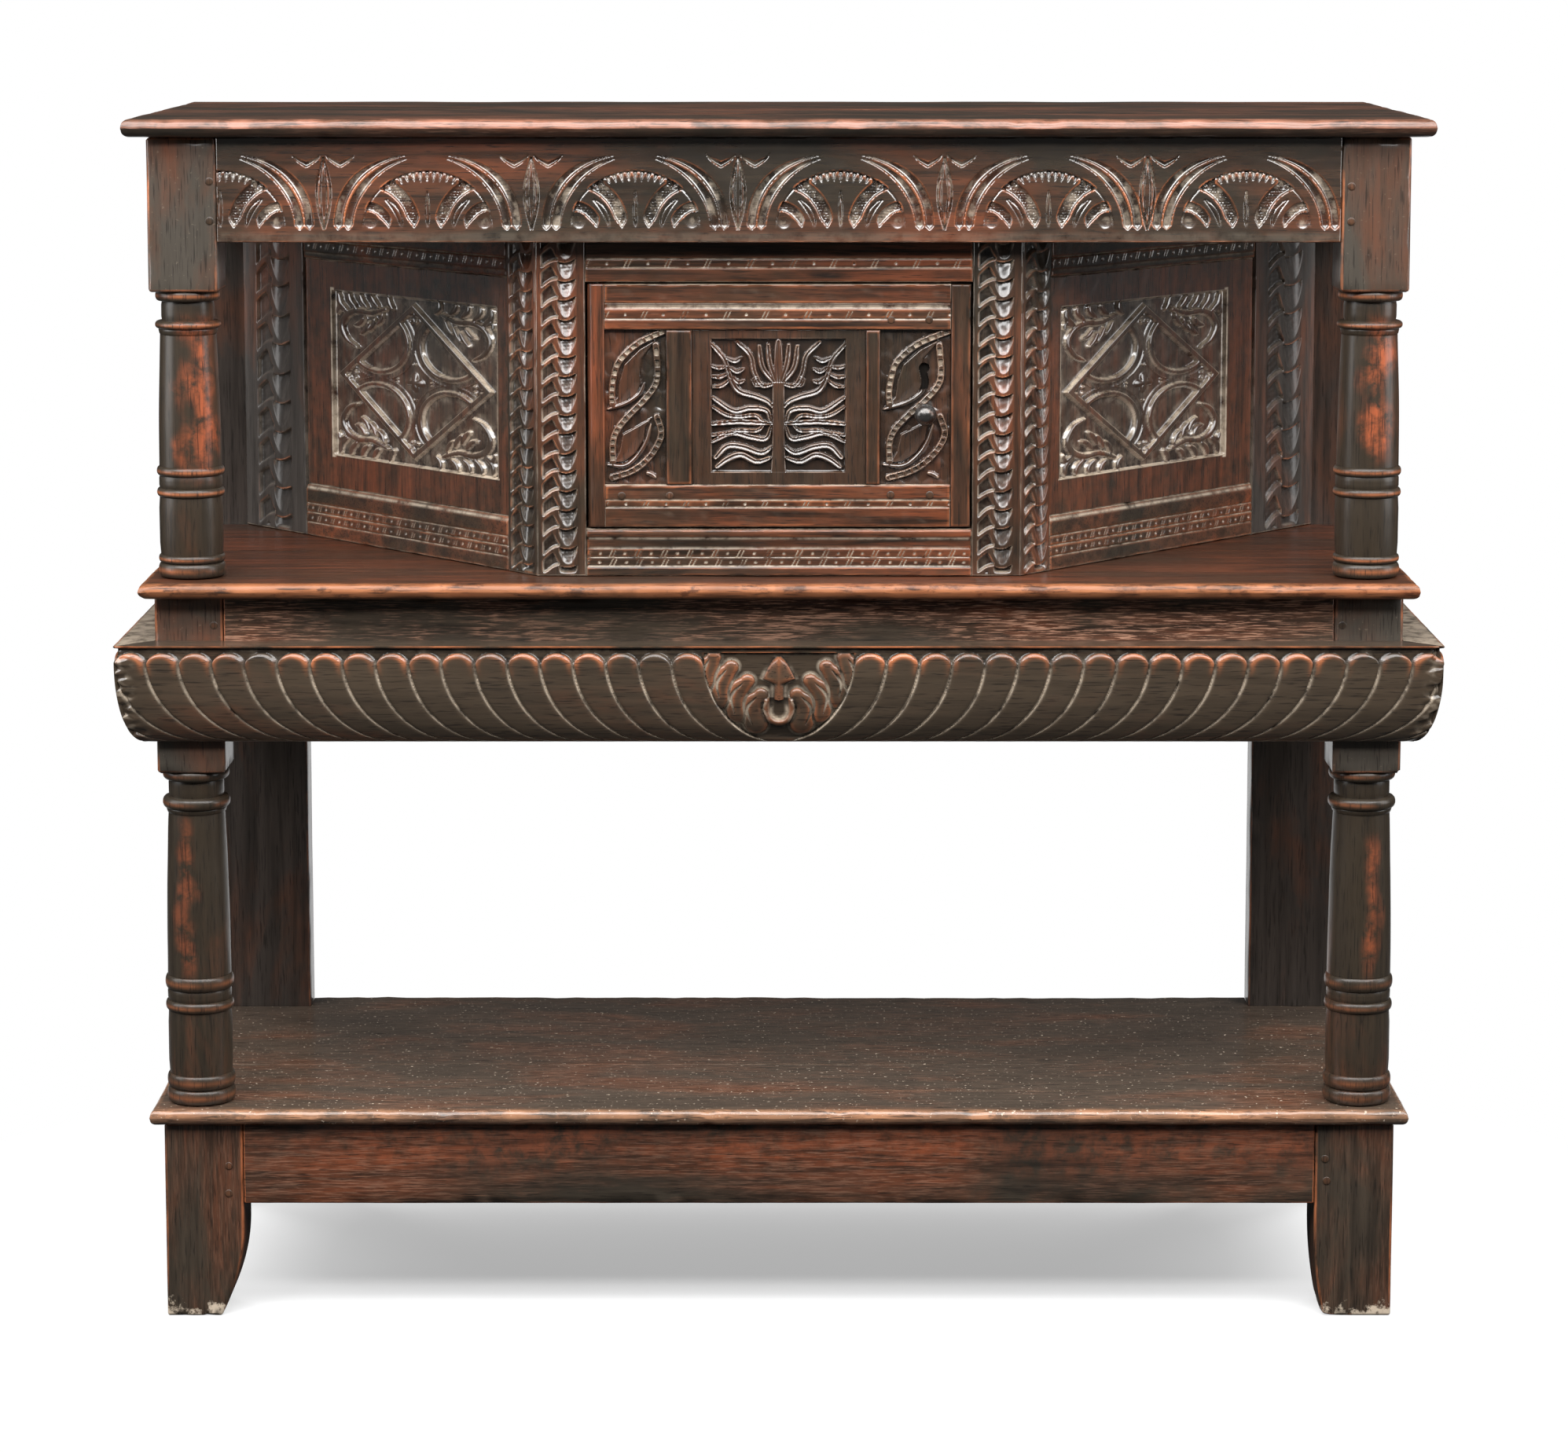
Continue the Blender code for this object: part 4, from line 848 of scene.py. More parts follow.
def lozenge_carving(u0, v0, half_u, half_v, seed):
    """Sunk field with a lozenge, four lobes in it, a starred middle and leafy corners."""
    ground = -4.2 * MM

    def carve(u, v):
        ax, ay = np.abs(u - u0) / half_u, np.abs(v - v0) / half_v
        field = (ax < 1) & (ay < 1)
        rim = np.minimum((1 - ax) * half_u, (1 - ay) * half_v)
        level = np.where(field, ground * step_between(rim, -0.3 * MM, 0.9 * MM), 0.0)
        level = level + np.where(rim > 2 * MM, stippled(u, v, seed), 0)
        diamond = ax + ay
        inside = diamond < 0.86
        lobe = np.hypot(ax - 0.44, ay - 0.44)
        star = inside & (lobe > 0.40)
        plate = np.where(star, -2.8 * MM, level)
        for middle, half, height in ((0.365, 0.040, 4.0 * MM), (0.450, 0.018, 2.8 * MM)):
            band = unit((half - np.abs(lobe - middle)) / 0.020)
            plate = np.where(inside, np.maximum(plate, ground + height * band), plate)
        arm = np.maximum(ax, ay)
        narrow = np.minimum(ax, ay)
        beads = np.hypot(((arm / 0.085) % 1.0 - 0.5) * 0.085, narrow - 0.032 - 0.012 * ((arm / 0.17) % 1.0))
        studs = dome(beads / 0.030)
        studded = star & (arm > 0.20) & (lobe > 0.475)
        plate = np.where(studded, plate + 2.6 * MM * studs, plate)
        spread = np.hypot(ax, ay)
        petals = np.abs(np.cos(2 * np.arctan2(ay, ax))) * 0.075 + 0.045
        rosette = dome(spread / petals)
        plate = np.where(star & (spread < 0.13), plate + 2.2 * MM * rosette, plate)
        flat = unit((0.058 - np.abs(diamond - 0.885)) / 0.018)
        plate = np.where(field, np.maximum(plate, ground + 4.2 * MM * flat), plate)
        outside = field & (diamond > 0.93)
        leaves = plate[outside]
        for points, width in SPRAY:
            leaves = raise_stroke(leaves, ax[outside], ay[outside], points, width, 3.6 * MM, ground)
        plate[outside] = leaves
        return np.where(field, plate, 0.0)
    return carve


def tree_carving(u0, v0, half, tall):
    """Sunk square with a trunk, a seven-petalled flower, branches, buds and wavy leaves."""
    units = 405.0
    scale = tall / units
    ground = -4.2 * MM
    strokes = (
        (((0, 262), (0, 395)), 30), (((-8, 275), (-26, 330), (-31, 384)), 20),
        (((-14, 273), (-48, 318), (-57, 380)), 20),
        (((-6, 270), (-48, 262), (-72, 300), (-84, 352), (-124, 394)), 19),
        (((-40, 268), (-66, 262), (-76, 278), (-62, 288)), 13),
        (((-12, 192), (-32, 214), (-70, 230), (-120, 246), (-146, 288), (-162, 340), (-202, 388)), 20),
        (((-146, 282), (-170, 262), (-196, 258)), 15), (((-150, 300), (-176, 288), (-200, 290)), 15),
        (((-156, 320), (-180, 316), (-202, 322)), 15), (((-140, 290), (-122, 272), (-106, 276)), 16),
        (((-148, 318), (-126, 304), (-106, 312)), 16), (((-158, 346), (-132, 336), (-112, 346)), 16),
        (((-22, 150), (-36, 186), (-84, 194), (-136, 186), (-198, 226)), 20),
        (((-44, 150), (-70, 172), (-118, 168), (-158, 174), (-198, 198)), 17),
        (((-18, 147), (-70, 150), (-126, 152), (-200, 146)), 20),
        (((-44, 144), (-66, 126), (-118, 126), (-152, 118), (-200, 112)), 17),
        (((-22, 140), (-38, 102), (-84, 106), (-140, 118), (-200, 92)), 20),
        (((-18, 78), (-52, 58), (-108, 76), (-154, 78), (-190, 44)), 22),
        (((-22, 44), (-66, 32), (-112, 52), (-152, 40), (-186, 16)), 22),
    )

    def carve(u, v):
        x, y = (u - u0) / scale, (v - v0) / scale
        beside = np.minimum(x + half / scale, half / scale - x)
        edge = np.minimum(beside, np.minimum(y, units - y)) * scale
        field = edge > 0
        level = np.where(field, ground * step_between(edge, -0.2 * MM, 1.2 * MM), 0.0)
        level = level + np.where(edge > 1.5 * MM, stippled(u, v, 31), 0)
        side = -np.abs(x)
        for points, width in strokes:
            raised = raise_stroke(level, side, y, points, width, 3.9 * MM, ground, fluted=0.35)
            level = np.where(field, raised, level)
        trunk = unit((19 + 5 * np.exp(-np.clip(y, 0, units) / 60) - np.abs(x)) / 4.0)
        trunk = dome(1 - trunk)
        return np.where(field & (y < 272), np.maximum(level, ground + 4.0 * MM * trunk), level)
    return carve


# The narrow door panels in millimetres from the lower left corner: notched bands, leaves and plain rims
NARROW_SIZE = (61.3, 153.7)
LADDERS = (
    ((59.6, 152.0), (47.9, 147.0), (34.4, 140.3), (22.7, 131.0), (13.4, 119.3), (9.2, 104.2), (7.6, 90.7),
     (8.4, 80)),
    ((8.4, 23.0), (8.4, 42.0), (13.4, 55.4), (24.4, 68.9), (37.8, 82.3), (49.6, 97.4), (52.9, 110.9),
     (51.2, 137.8)),
    ((7.6, 7.0), (24.4, 12.4), (37.8, 20.8), (49.6, 34.3), (56.3, 50.4), (52.2, 67.2)),
)
LEAVES = (
    ((51.2, 144.5), (34.4, 134.4), (19.3, 119.3), (14.3, 102.5), (12.6, 87.4), (2.5, 75.6), (3.4, 74.8),
     (19.3, 80.6), (32.8, 89.0), (37.8, 100.8), (36.1, 110.9), (37.8, 124.3), (49.6, 139.4)),
    ((49.6, 68.9), (32.8, 58.8), (17.6, 50.4), (14.3, 33.6), (9.2, 23.5), (3.4, 20.2), (19.3, 21.8),
     (31.1, 30.2), (39.5, 43.7), (41.2, 57.1)),
)
RIMS = (
    ((2.4, 74.6), (21.0, 80.5), (34.6, 89.9), (40.0, 101.0)),
    ((2.5, 20.0), (19.3, 18.5), (31.1, 26.9), (41.2, 42.0), (46.2, 60.5)),
    ((41.2, 11.8), (46.0, 10.4), (51.2, 6.7)),
)
NOTCH_DUST = (0.8, 0.5, 0.15)


def ladder(u, v, points, scale):
    """Distance from the middle of a notched band, and where its notches are."""
    line = curve(np.array(points) * scale)
    distance, share = along_line(u, v, line)
    length = np.sum(np.hypot(*np.diff(line, axis=0).T))
    rung = (share * round(length / (7.6 * MM))) % 1.0
    return distance, (rung > 0.14) & (rung < 0.78) & (distance < 2.0 * MM)


def notch_floors(width, height):
    """Marks the pale floors of the notches in the ladder-like bands, palest in the upper band."""
    scale = np.array((width, height)) / np.array(NARROW_SIZE)

    def floors(u, v):
        dusty = [dust * ladder(u, v, points, scale)[1] for points, dust in zip(LADDERS, NOTCH_DUST)]
        return np.max(dusty, axis=0)
    return floors


def keyhole_at(u, v, middle):
    """True within the ragged keyhole round a point."""
    x, y = u - middle[0], v - middle[1]
    eye = np.hypot(x, y - 7.5 * MM) < 5.0 * MM
    slot = np.abs(x + 1.0 * MM * np.sin(y / (4 * MM))) < 3.5 * MM
    return eye | (slot & (np.abs(y + 3.5 * MM) < 9.8 * MM))


def guilloche_carving(width, height, keyhole=None):
    """Two leaning leaves between notched, ladder-like bands on a smooth sunk ground."""
    ground = -4.0 * MM
    scale = np.array((width, height)) / np.array(NARROW_SIZE)

    def carve(u, v):
        level = ground + 0.8 * MM * wobble(u, v, 0.016, 33)
        for points in LEAVES:
            outline = np.array(points) * scale
            away, _ = along_line(u, v, np.vstack((outline, outline[:1])))
            bowl = unit(away / (9 * MM))
            leaf = ground + 3.2 * MM * step_between(away, 0, 1.6 * MM) - 1.8 * MM * np.sqrt(bowl)
            level = np.where(inside_outline(u, v, outline), leaf, level)
        for points in RIMS:
            distance, share = along_line(u, v, curve(np.array(points) * scale))
            half = 2.3 * MM * np.sqrt(unit(1 - (2 * share - 1) ** 4)) + 0.2 * MM
            ridge = dome(distance / half)
            level = np.maximum(level, ground + 3.9 * MM * ridge)
        for points in LADDERS:
            distance, cell = ladder(u, v, points, scale)
            band = unit((3.5 * MM - distance) / (1.0 * MM))
            raised = ground + 3.8 * MM * dome(1 - band) - np.where(cell, 2.2 * MM, 0)
            rail = np.where(distance > 2 * MM, np.maximum(level, raised), raised)
            level = np.where(distance < 3.5 * MM, rail, level)
        if keyhole is not None:
            level = np.where(keyhole_at(u, v, keyhole), -7.6 * MM, level)
        return level
    return carve


def add_relief(node, face, size, step, carve, thick, material, body="carcass", **extra):
    """Carved boards that stand in for a node of the part."""
    for thing in relief(node + "_dressed", face, size, step, carve, thick, **extra):
        place(thing, body, node, "carved_oak", material)


def dust_line(u, v):
    """Marks the pale dust where an upright meets the shelf it stands on."""
    return 0.7 * unit(1.6 - v / (0.9 * MM))


def plain(u, v):
    """A face without carving."""
    return 0 * u


# Cuts along the rails, in millimetres from the foot of each: ticked strips (middle, half-height, pitch,
# seed), V-shaped lines (place, half-width, depth) and steps up or down (height, first, last)
RAIL_CUTS = {
    "cupboard_bottom": (((13.5, 3.4, 26, 5), (22.5, 3.4, 26, 6)),
                        ((9.2, 0.8, 1.3), (18.2, 0.8, 1.3), (27.0, 0.8, 1.3)),
                        ((-1.6, 8.5, 9.5), (-0.9, 27.5, 28.5))),
    "cupboard_top": (((18.5, 3.6, 41, 7),), ((14.5, 0.9, 1.5), (23.2, 0.8, 1.1)), ((-0.8, 14.5, 15.5),)),
    "canted_bottom": (((19.5, 3.2, 24, 8), (30.0, 3.2, 24, 9)),
                      ((14.7, 0.9, 1.4), (25.2, 0.9, 1.4), (35.0, 0.9, 1.4)), ((-1.5, 48.0, 54.0),)),
    "canted_top": (((13.5, 3.4, 24, 10),), ((19.0, 0.9, 1.3),), ((-0.8, 7.5, 6.5),)),
    "door_bottom": (((23.2, 2.6, 40, 14),), ((20.0, 0.9, 1.5), (27.0, 0.9, 1.5)), ((-0.6, 27.0, 28.0),)),
    "door_top": (((15.0, 3.6, 40, 13),), ((10.5, 0.9, 1.4), (26.2, 0.8, 1.6)),
                 ((-1.3, 20.0, 21.2), (1.3, 24.8, 25.8))),
}


def rail_carving(name):
    """The level cuts along one of the rails."""
    ticks, lines, steps = RAIL_CUTS[name]

    def carve(u, v):
        level = np.zeros(u.shape)
        for middle, half, pitch, seed in ticks:
            level = level + ticked_strip(u, v, middle * MM, half * MM, pitch * MM, seed)
        for at, half, depth in lines:
            level = level + notch(v - at * MM, half * MM, depth * MM)
        for height, first, last in steps:
            level = level + height * MM * step_between(v, first * MM, last * MM)
        return level
    return carve


def beaded_rail(u, v):
    """Lower rail of the cupboard: its level cuts, and a bead along its upper edge."""
    bead = dome((v - 42.5 * MM) / (4.5 * MM)) * step_between(v, 37.5 * MM, 39 * MM)
    return rail_carving("cupboard_bottom")(u, v) + 2.4 * MM * bead


def frieze_and_face():
    """The carved frieze, and the stiles and rails round the door."""
    z = low("frieze_rail_front")[2]

    def grey_edge(u, v):
        return 0.07 * step_between(12 * MM - v, 0, 5 * MM)

    def lower_arris(u, v):
        return 0.9 * unit(1.3 - v / (1.5 * MM))

    add_relief("frieze_rail_front", front_face(-BLOCK_INNER + GAP, FRONT, z),
               (2 * (BLOCK_INNER - GAP), CEILING - z), 0.8 * MM, frieze_carving, WALL - GAP, CARVED_X,
               seed=3, pieces=2, edge=(0.40 * MM, 0.60 * MM), bare=grey_edge, arris=lower_arris)
    stile = FACE_HALF - OPENING
    mitre = WALL * math.tan(CANT_ANGLE / 2)
    for side, x, inset, seed in (("left", -FACE_HALF, (mitre, 0), 11), ("right", OPENING, (0, mitre), 12)):
        add_relief(f"cupboard_stile_{side}", front_face(x, FACE_Y, MID_FLOOR), (stile, CEILING - MID_FLOOR),
                   0.8 * MM, wave_carving(stile, 19.0 * MM, 0.10, 0.82, 4.6 * MM, seed), WALL - GAP,
                   CARVED_Z, inset=inset, seed=seed, edge=(0.5 * MM, 0.6 * MM), bare=dust_line, dusty=0.3)
    for part, carve in (("bottom", beaded_rail), ("top", rail_carving("cupboard_top"))):
        node = f"cupboard_rail_{part}"
        z = low(node)[2]
        add_relief(node, front_face(-OPENING + GAP, FACE_Y, z), (2 * (OPENING - GAP), high(node)[2] - z),
                   1.1 * MM, carve, WALL - GAP, DOOR_OAK_X, seed=21, chalk=0.6)


def canted_side(side):
    """Carved frame and panel of one canted side, seen left to right as in the photo."""
    right = side == "right"
    lean = 1 if right else -1
    across = np.array((math.cos(CANT_ANGLE), lean * math.sin(CANT_ANGLE), 0.0))
    begin = np.array((lean * FACE_HALF, FACE_Y, 0.0))
    if not right:
        begin = begin - across * CANT_LENGTH

    def face(first, z, back=0.0):
        out = np.cross(across, Z)
        return (begin + across * first + Z * z - out * back, across, Z)

    def seen(first, last):
        return (first, last) if right else (CANT_LENGTH - last, CANT_LENGTH - first)

    tall = CEILING - MID_FLOOR
    mitre = WALL * math.tan(CANT_ANGLE / 2)
    rear_cut = WALL / math.tan(CANT_ANGLE)
    for part, span, pitch, window, inset, depth, finish in (
            ("stile_front", (GAP, CANT_FRONT_STILE), 19.5 * MM, (0.10, 0.90), (mitre, 0), 4.4 * MM,
             CARVED_Z),
            ("stile_rear", (CANT_LENGTH - CANT_REAR_STILE, CANT_LENGTH), 31.0 * MM, (0.21, 0.77),
             (0, rear_cut), 4.8 * MM, REAR_STILE_OAK)):
        first, last = seen(*span)
        wave = wave_carving(last - first, pitch, *window, depth, 40 + lean)
        add_relief(f"canted_{side}_{part}", face(first, MID_FLOOR), (last - first, tall), 0.9 * MM, wave,
                   WALL - GAP, finish, inset=inset if right else inset[::-1], seed=43,
                   edge=(0.5 * MM, 0.6 * MM), bare=dust_line, dusty=0.2)
    bottom = high(f"canted_{side}_rail_bottom")[2]
    top = low(f"canted_{side}_rail_top")[2]
    first, last = seen(CANT_FRONT_STILE, CANT_LENGTH - CANT_REAR_STILE)
    field = seen(*CANT_FIELD)
    middle = (field[0] + field[1]) / 2 - first
    carve = lozenge_carving(middle, FIELD_MIDDLE - bottom, *FIELD_HALF, 60 + lean)

    def from_field(u, v):
        return np.maximum(np.abs(u - middle) - FIELD_HALF[0],
                          np.abs(v - FIELD_MIDDLE + bottom) - FIELD_HALF[1])

    # Pale on the field's outer wall and its lower wall, the walls that face the lamps: dust and painted
    # highlight; faint dust on the ground
    def outer_wall(u, v):
        beside = 1 - unit(np.abs(u - middle - lean * FIELD_HALF[0]) / (5.0 * MM))
        under = 0.6 - unit(np.abs(v - FIELD_MIDDLE + bottom + FIELD_HALF[1]) / (1.6 * MM))
        near_rim = np.abs(from_field(u, v)) < 3 * MM
        ground = 0.05 * step_between(-from_field(u, v), 0, 3 * MM)
        return np.where(near_rim, unit(1.8 * np.maximum(beside, under)), ground)

    def border(u, v):
        return 0.22 * step_between(from_field(u, v), 0, 4 * MM)

    # The panel's steep slopes are painted pale in full, as a highlight
    add_relief(f"canted_{side}_panel", face(first, bottom, PANEL_SET_BACK), (last - first, top - bottom),
               1.0 * MM, carve, PANEL_THICK, PANEL_OAK, seed=51, rub=border, bare=outer_wall,
               edge=(0.5 * MM, 0.6 * MM), dusty=1.0)

    def ledge_dust(u, v):
        return np.maximum(dust_line(u, v), 0.7 * unit(1 - np.abs(v - 51.5 * MM) / (2.2 * MM)))

    for part, z0, z1, dirt in (("bottom", MID_FLOOR, bottom, ledge_dust), ("top", top, CEILING, None)):
        add_relief(f"canted_{side}_rail_{part}", face(first + GAP, z0), (last - first - 2 * GAP, z1 - z0),
                   1.2 * MM, rail_carving(f"canted_{part}"), WALL - GAP, CANT_RAIL_OAK, seed=52, chalk=0.4,
                   bare=dirt)


KEYHOLE_X = 0.1436
KEYHOLE_DROP = 0.0910       # below the top of the door
TREE_FIELD = (85.5 * MM, 12.5 * MM, 66.5 * MM, 133 * MM)    # middle, foot, half-width and height


def door_front():
    """The door's rails, muntins and carved panels."""
    z0, z1 = low("door_stile_lock")[2], high("door_stile_lock")[2]
    bottom = low("door_panel_left")[2] + TONGUE
    top = high("door_panel_left")[2] - TONGUE
    left = low("door_panel_left")[0] + TONGUE
    right = high("door_panel_right")[0] - TONGUE
    thick = high("door_stile_lock")[1] - FACE_Y
    for part, first, last in (("top", top, z1), ("bottom", z0, bottom)):
        add_relief(f"door_rail_{part}", front_face(left + GAP, FACE_Y, first),
                   (right - left - 2 * GAP, last - first), 0.9 * MM, rail_carving(f"door_{part}"), thick,
                   DOOR_OAK_X, body="door", seed=61, chalk=0.6)
    muntins = {}
    for side in ("left", "right"):
        node = f"door_muntin_{side}"
        first, last = muntins[side] = low(node)[0], high(node)[0]
        add_relief(node, front_face(first, FACE_Y, bottom + GAP), (last - first, top - bottom - 2 * GAP),
                   1.2 * MM, plain, thick, MUNTIN_OAK, body="door", seed=62)
    y = FACE_Y + PANEL_SET_BACK
    keyhole = (KEYHOLE_X - muntins["right"][1], z1 - KEYHOLE_DROP - bottom)

    def in_keyhole(u, v):
        return keyhole_at(u, v, keyhole)

    panel = {"body": "door", "radius": 0.6 * MM, "edge": (0.6 * MM, 0.8 * MM)}
    for side, first, last, hole, pit in (("left", left, muntins["left"][0], None, None),
                                         ("right", muntins["right"][1], right, keyhole, in_keyhole)):
        size = (last - first, top - bottom)
        add_relief(f"door_panel_{side}", front_face(first, y, bottom), size, 0.6 * MM,
                   guilloche_carving(*size, hole), PANEL_THICK, DOOR_PANEL_OAK, seed=63,
                   bare=notch_floors(*size), pit=pit, **panel)
    first, last = muntins["left"][1], muntins["right"][0]
    add_relief("door_panel_centre", front_face(first, y, bottom), (last - first, top - bottom), 0.58 * MM,
               tree_carving(*TREE_FIELD), PANEL_THICK, DOOR_PANEL_OAK, seed=64, **panel)


# Plain timbers, turnings and boards. Members of a turning from its block down: kind, height, and the
# radii at the ends of a plain length, or at the edge and the middle of a bead
UPPER_MEMBERS = (
    ("bead", 0.0110, 0.0280, 0.0320), ("taper", 0.0195, 0.0262, 0.0262),
    ("bead", 0.0080, 0.0275, 0.0325), ("taper", 0.0060, 0.0295, 0.0280),
    ("shaft", None, 0.0278, 0.0310), ("bead", 0.0095, 0.0298, 0.0336),
    ("taper", 0.0120, 0.0314, 0.0314), ("bead", 0.0090, 0.0298, 0.0336),
    ("taper", 0.0575, 0.0317, 0.0315), ("bead", 0.0080, 0.0298, 0.0330),
    ("bead", 0.0145, 0.0292, 0.0334),
)
LOWER_MEMBERS = (
    ("bead", 0.0110, 0.0285, 0.0333), ("taper", 0.0170, 0.0278, 0.0278),
    ("bead", 0.0120, 0.0288, 0.0338), ("taper", 0.0050, 0.0305, 0.0290),
    ("shaft", None, 0.0284, 0.0320), ("bead", 0.0150, 0.0303, 0.0344),
    ("taper", 0.0110, 0.0322, 0.0320), ("bead", 0.0110, 0.0303, 0.0342),
    ("taper", 0.0640, 0.0322, 0.0322), ("bead", 0.0150, 0.0303, 0.0342),
    ("bead", 0.0150, 0.0303, 0.0344),
)
# Each stage's floor, height of turning, top of block, members, wear of the beads and strength of the red
STAGES = {"upper": (MID_FLOOR, 0.2854, CEILING, UPPER_MEMBERS, 1.0, 1.0),
          "lower": (LOWER_FLOOR + GAP, 0.3410, WAIST, LOWER_MEMBERS, 0.5, 0.6)}
# Each pillar's seed, and where its red patch lies: turn, spread, foot and top
PILLARS = {("upper", "left"): (201, 0.55, 0.75, 0.84, 1.02),
           ("upper", "right"): (211, 0.20, 0.60, 0.86, 1.02),
           ("lower", "left"): (221, -0.30, 0.35, 0.34, 0.52),
           ("lower", "right"): (231, 0.30, 0.30, 0.34, 0.50)}
BEAD_STEPS = 12
SHAFT_STEPS = 22
TAPER_STEPS = 5
FOOT_TALL = 0.093
FOOT_WIDE = 0.079
BASE_BLOCK = 0.062          # depth of a front foot
SQUARE_ARRIS = 0.8 * MM     # edge of a board that is not moulded


def pillar_profile(members, height):
    """Points from the foot of a turning up to its block, with the wear of each."""
    fixed = sum(member[1] for member in members if member[1])
    level, points = height, []
    for shape, tall, top, bottom in members:
        tall = tall or height - fixed
        if shape == "bead":
            for step in range(BEAD_STEPS + 1):
                angle = math.pi * step / BEAD_STEPS
                swell = math.sin(angle) ** 0.8
                down = tall * (1 - math.cos(angle)) / 2
                points.append((top + (bottom - top) * swell, level - down, 0.8 * swell ** 24))
        else:
            steps = SHAFT_STEPS if shape == "shaft" else TAPER_STEPS
            for step in range(steps + 1):
                part = step / steps
                swell = 0.8 * MM * math.sin(math.pi * part) if shape == "shaft" else 0.0
                # A fine quirk where a plain length meets its neighbours
                quirk = -0.7 * MM if step in (0, steps) and shape == "taper" else 0.0
                points.append((top + (bottom - top) * part + swell + quirk, level - tall * part, 0.0))
        level -= tall
    kept = [points[0]]
    for point in points[1:]:
        if math.hypot(point[0] - kept[-1][0], point[1] - kept[-1][1]) > 0.15 * MM:
            kept.append(point)
    return np.array(kept[::-1])


def rubbed(centre, turn, spread, low_z, high_z, seed, share):
    """Red patch where the patina is worn off one side of a turning."""
    def rub(points):
        angle = np.arctan2(points[:, 0] - centre[0], centre[1] - points[:, 1])
        edge = 0.5 * wobble(points[:, 2], angle * 0.04, 0.055, seed)
        side = unit(1.15 - np.abs(angle - turn) / spread + edge)
        ends = step_between(points[:, 2], low_z, low_z + 0.03) * step_between(high_z - points[:, 2], 0, 0.03)
        return share * side * ends
    return rub


def pillar(stage, side):
    """A turned pillar and its square block."""
    sign = -1 if side == "left" else 1
    floor, height, top, members, bead_wear, red = STAGES[stage]
    seed, *patch = PILLARS[stage, side]
    node = f"{stage}_pillar_{side}"
    centre = (sign * (HALF + BLOCK_INNER) / 2, FRONT + (HALF - BLOCK_INNER) / 2)
    profile = pillar_profile(members, height)
    shaft = turned(node + "_turning", profile[:, :2], (*centre, floor), 72, seed, profile[:, 2] * bead_wear,
                   rubbed(centre, *patch, seed, red))
    place(shaft, "carcass", node, "worn_oak", PILLAR_OAK)
    x0, x1 = sorted((sign * BLOCK_INNER, sign * HALF))
    block = worn_block(node + "_block", (x0, FRONT, floor + height - 1 * MM),
                       (x1, FRONT + HALF - BLOCK_INNER, top), radius=3.2 * MM, seed=seed + 1)
    place(block, "carcass", node, "worn_oak", BLOCK_OAK)


def add_block(node, first, last, slot, material, **extra):
    """A squared timber that stands in for a node of the carcass."""
    place(worn_block(node + "_dressed", first, last, **extra), "carcass", node, slot, material)


def foot(side, taper, seed):
    """A front foot, curved on its inner side and ragged at the floor."""
    sign = -1 if side == "left" else 1
    node = f"front_foot_{side}"
    first, last = low(node), high(node)
    inner = first[0] if sign > 0 else last[0]

    def warp(points):
        part = unit((FOOT_TALL - points[:, 2]) / FOOT_TALL)
        share = unit((points[:, 0] - (inner + sign * FOOT_WIDE)) / (-sign * FOOT_WIDE))
        points[:, 0] = points[:, 0] + sign * taper * part ** 2 * share
        ragged = unit(wobble(points[:, 0], points[:, 1], 0.03, seed)) * 3 * MM
        points[:, 2] = points[:, 2] + ragged * step_between(0.012 - points[:, 2], 0, 0.010)
        return points

    add_block(node, first, last, "worn_oak", FOOT_OAK, radius=3 * MM, step=6 * MM, seed=seed, warp=warp)


def board_faces(keep):
    """Top, underside and edges of the kept cells of a grid, the underside's points after the top's."""
    rows, columns = keep.shape
    count = (rows + 1) * (columns + 1)
    cell = cells(np.arange(count).reshape(rows + 1, columns + 1))
    grown = np.pad(keep, 1)
    faces = [cell[keep], cell[keep][:, ::-1] + count]
    for side, shift in enumerate(((1, 0), (0, -1), (-1, 0), (0, 1))):
        beyond = np.roll(grown, shift, (0, 1))[1:-1, 1:-1]
        rim = cell[keep & ~beyond]
        a, b = rim[:, side], rim[:, (side + 1) % 4]
        faces.append(np.stack((a, a + count, b + count, b), -1))
    return np.concatenate(faces)


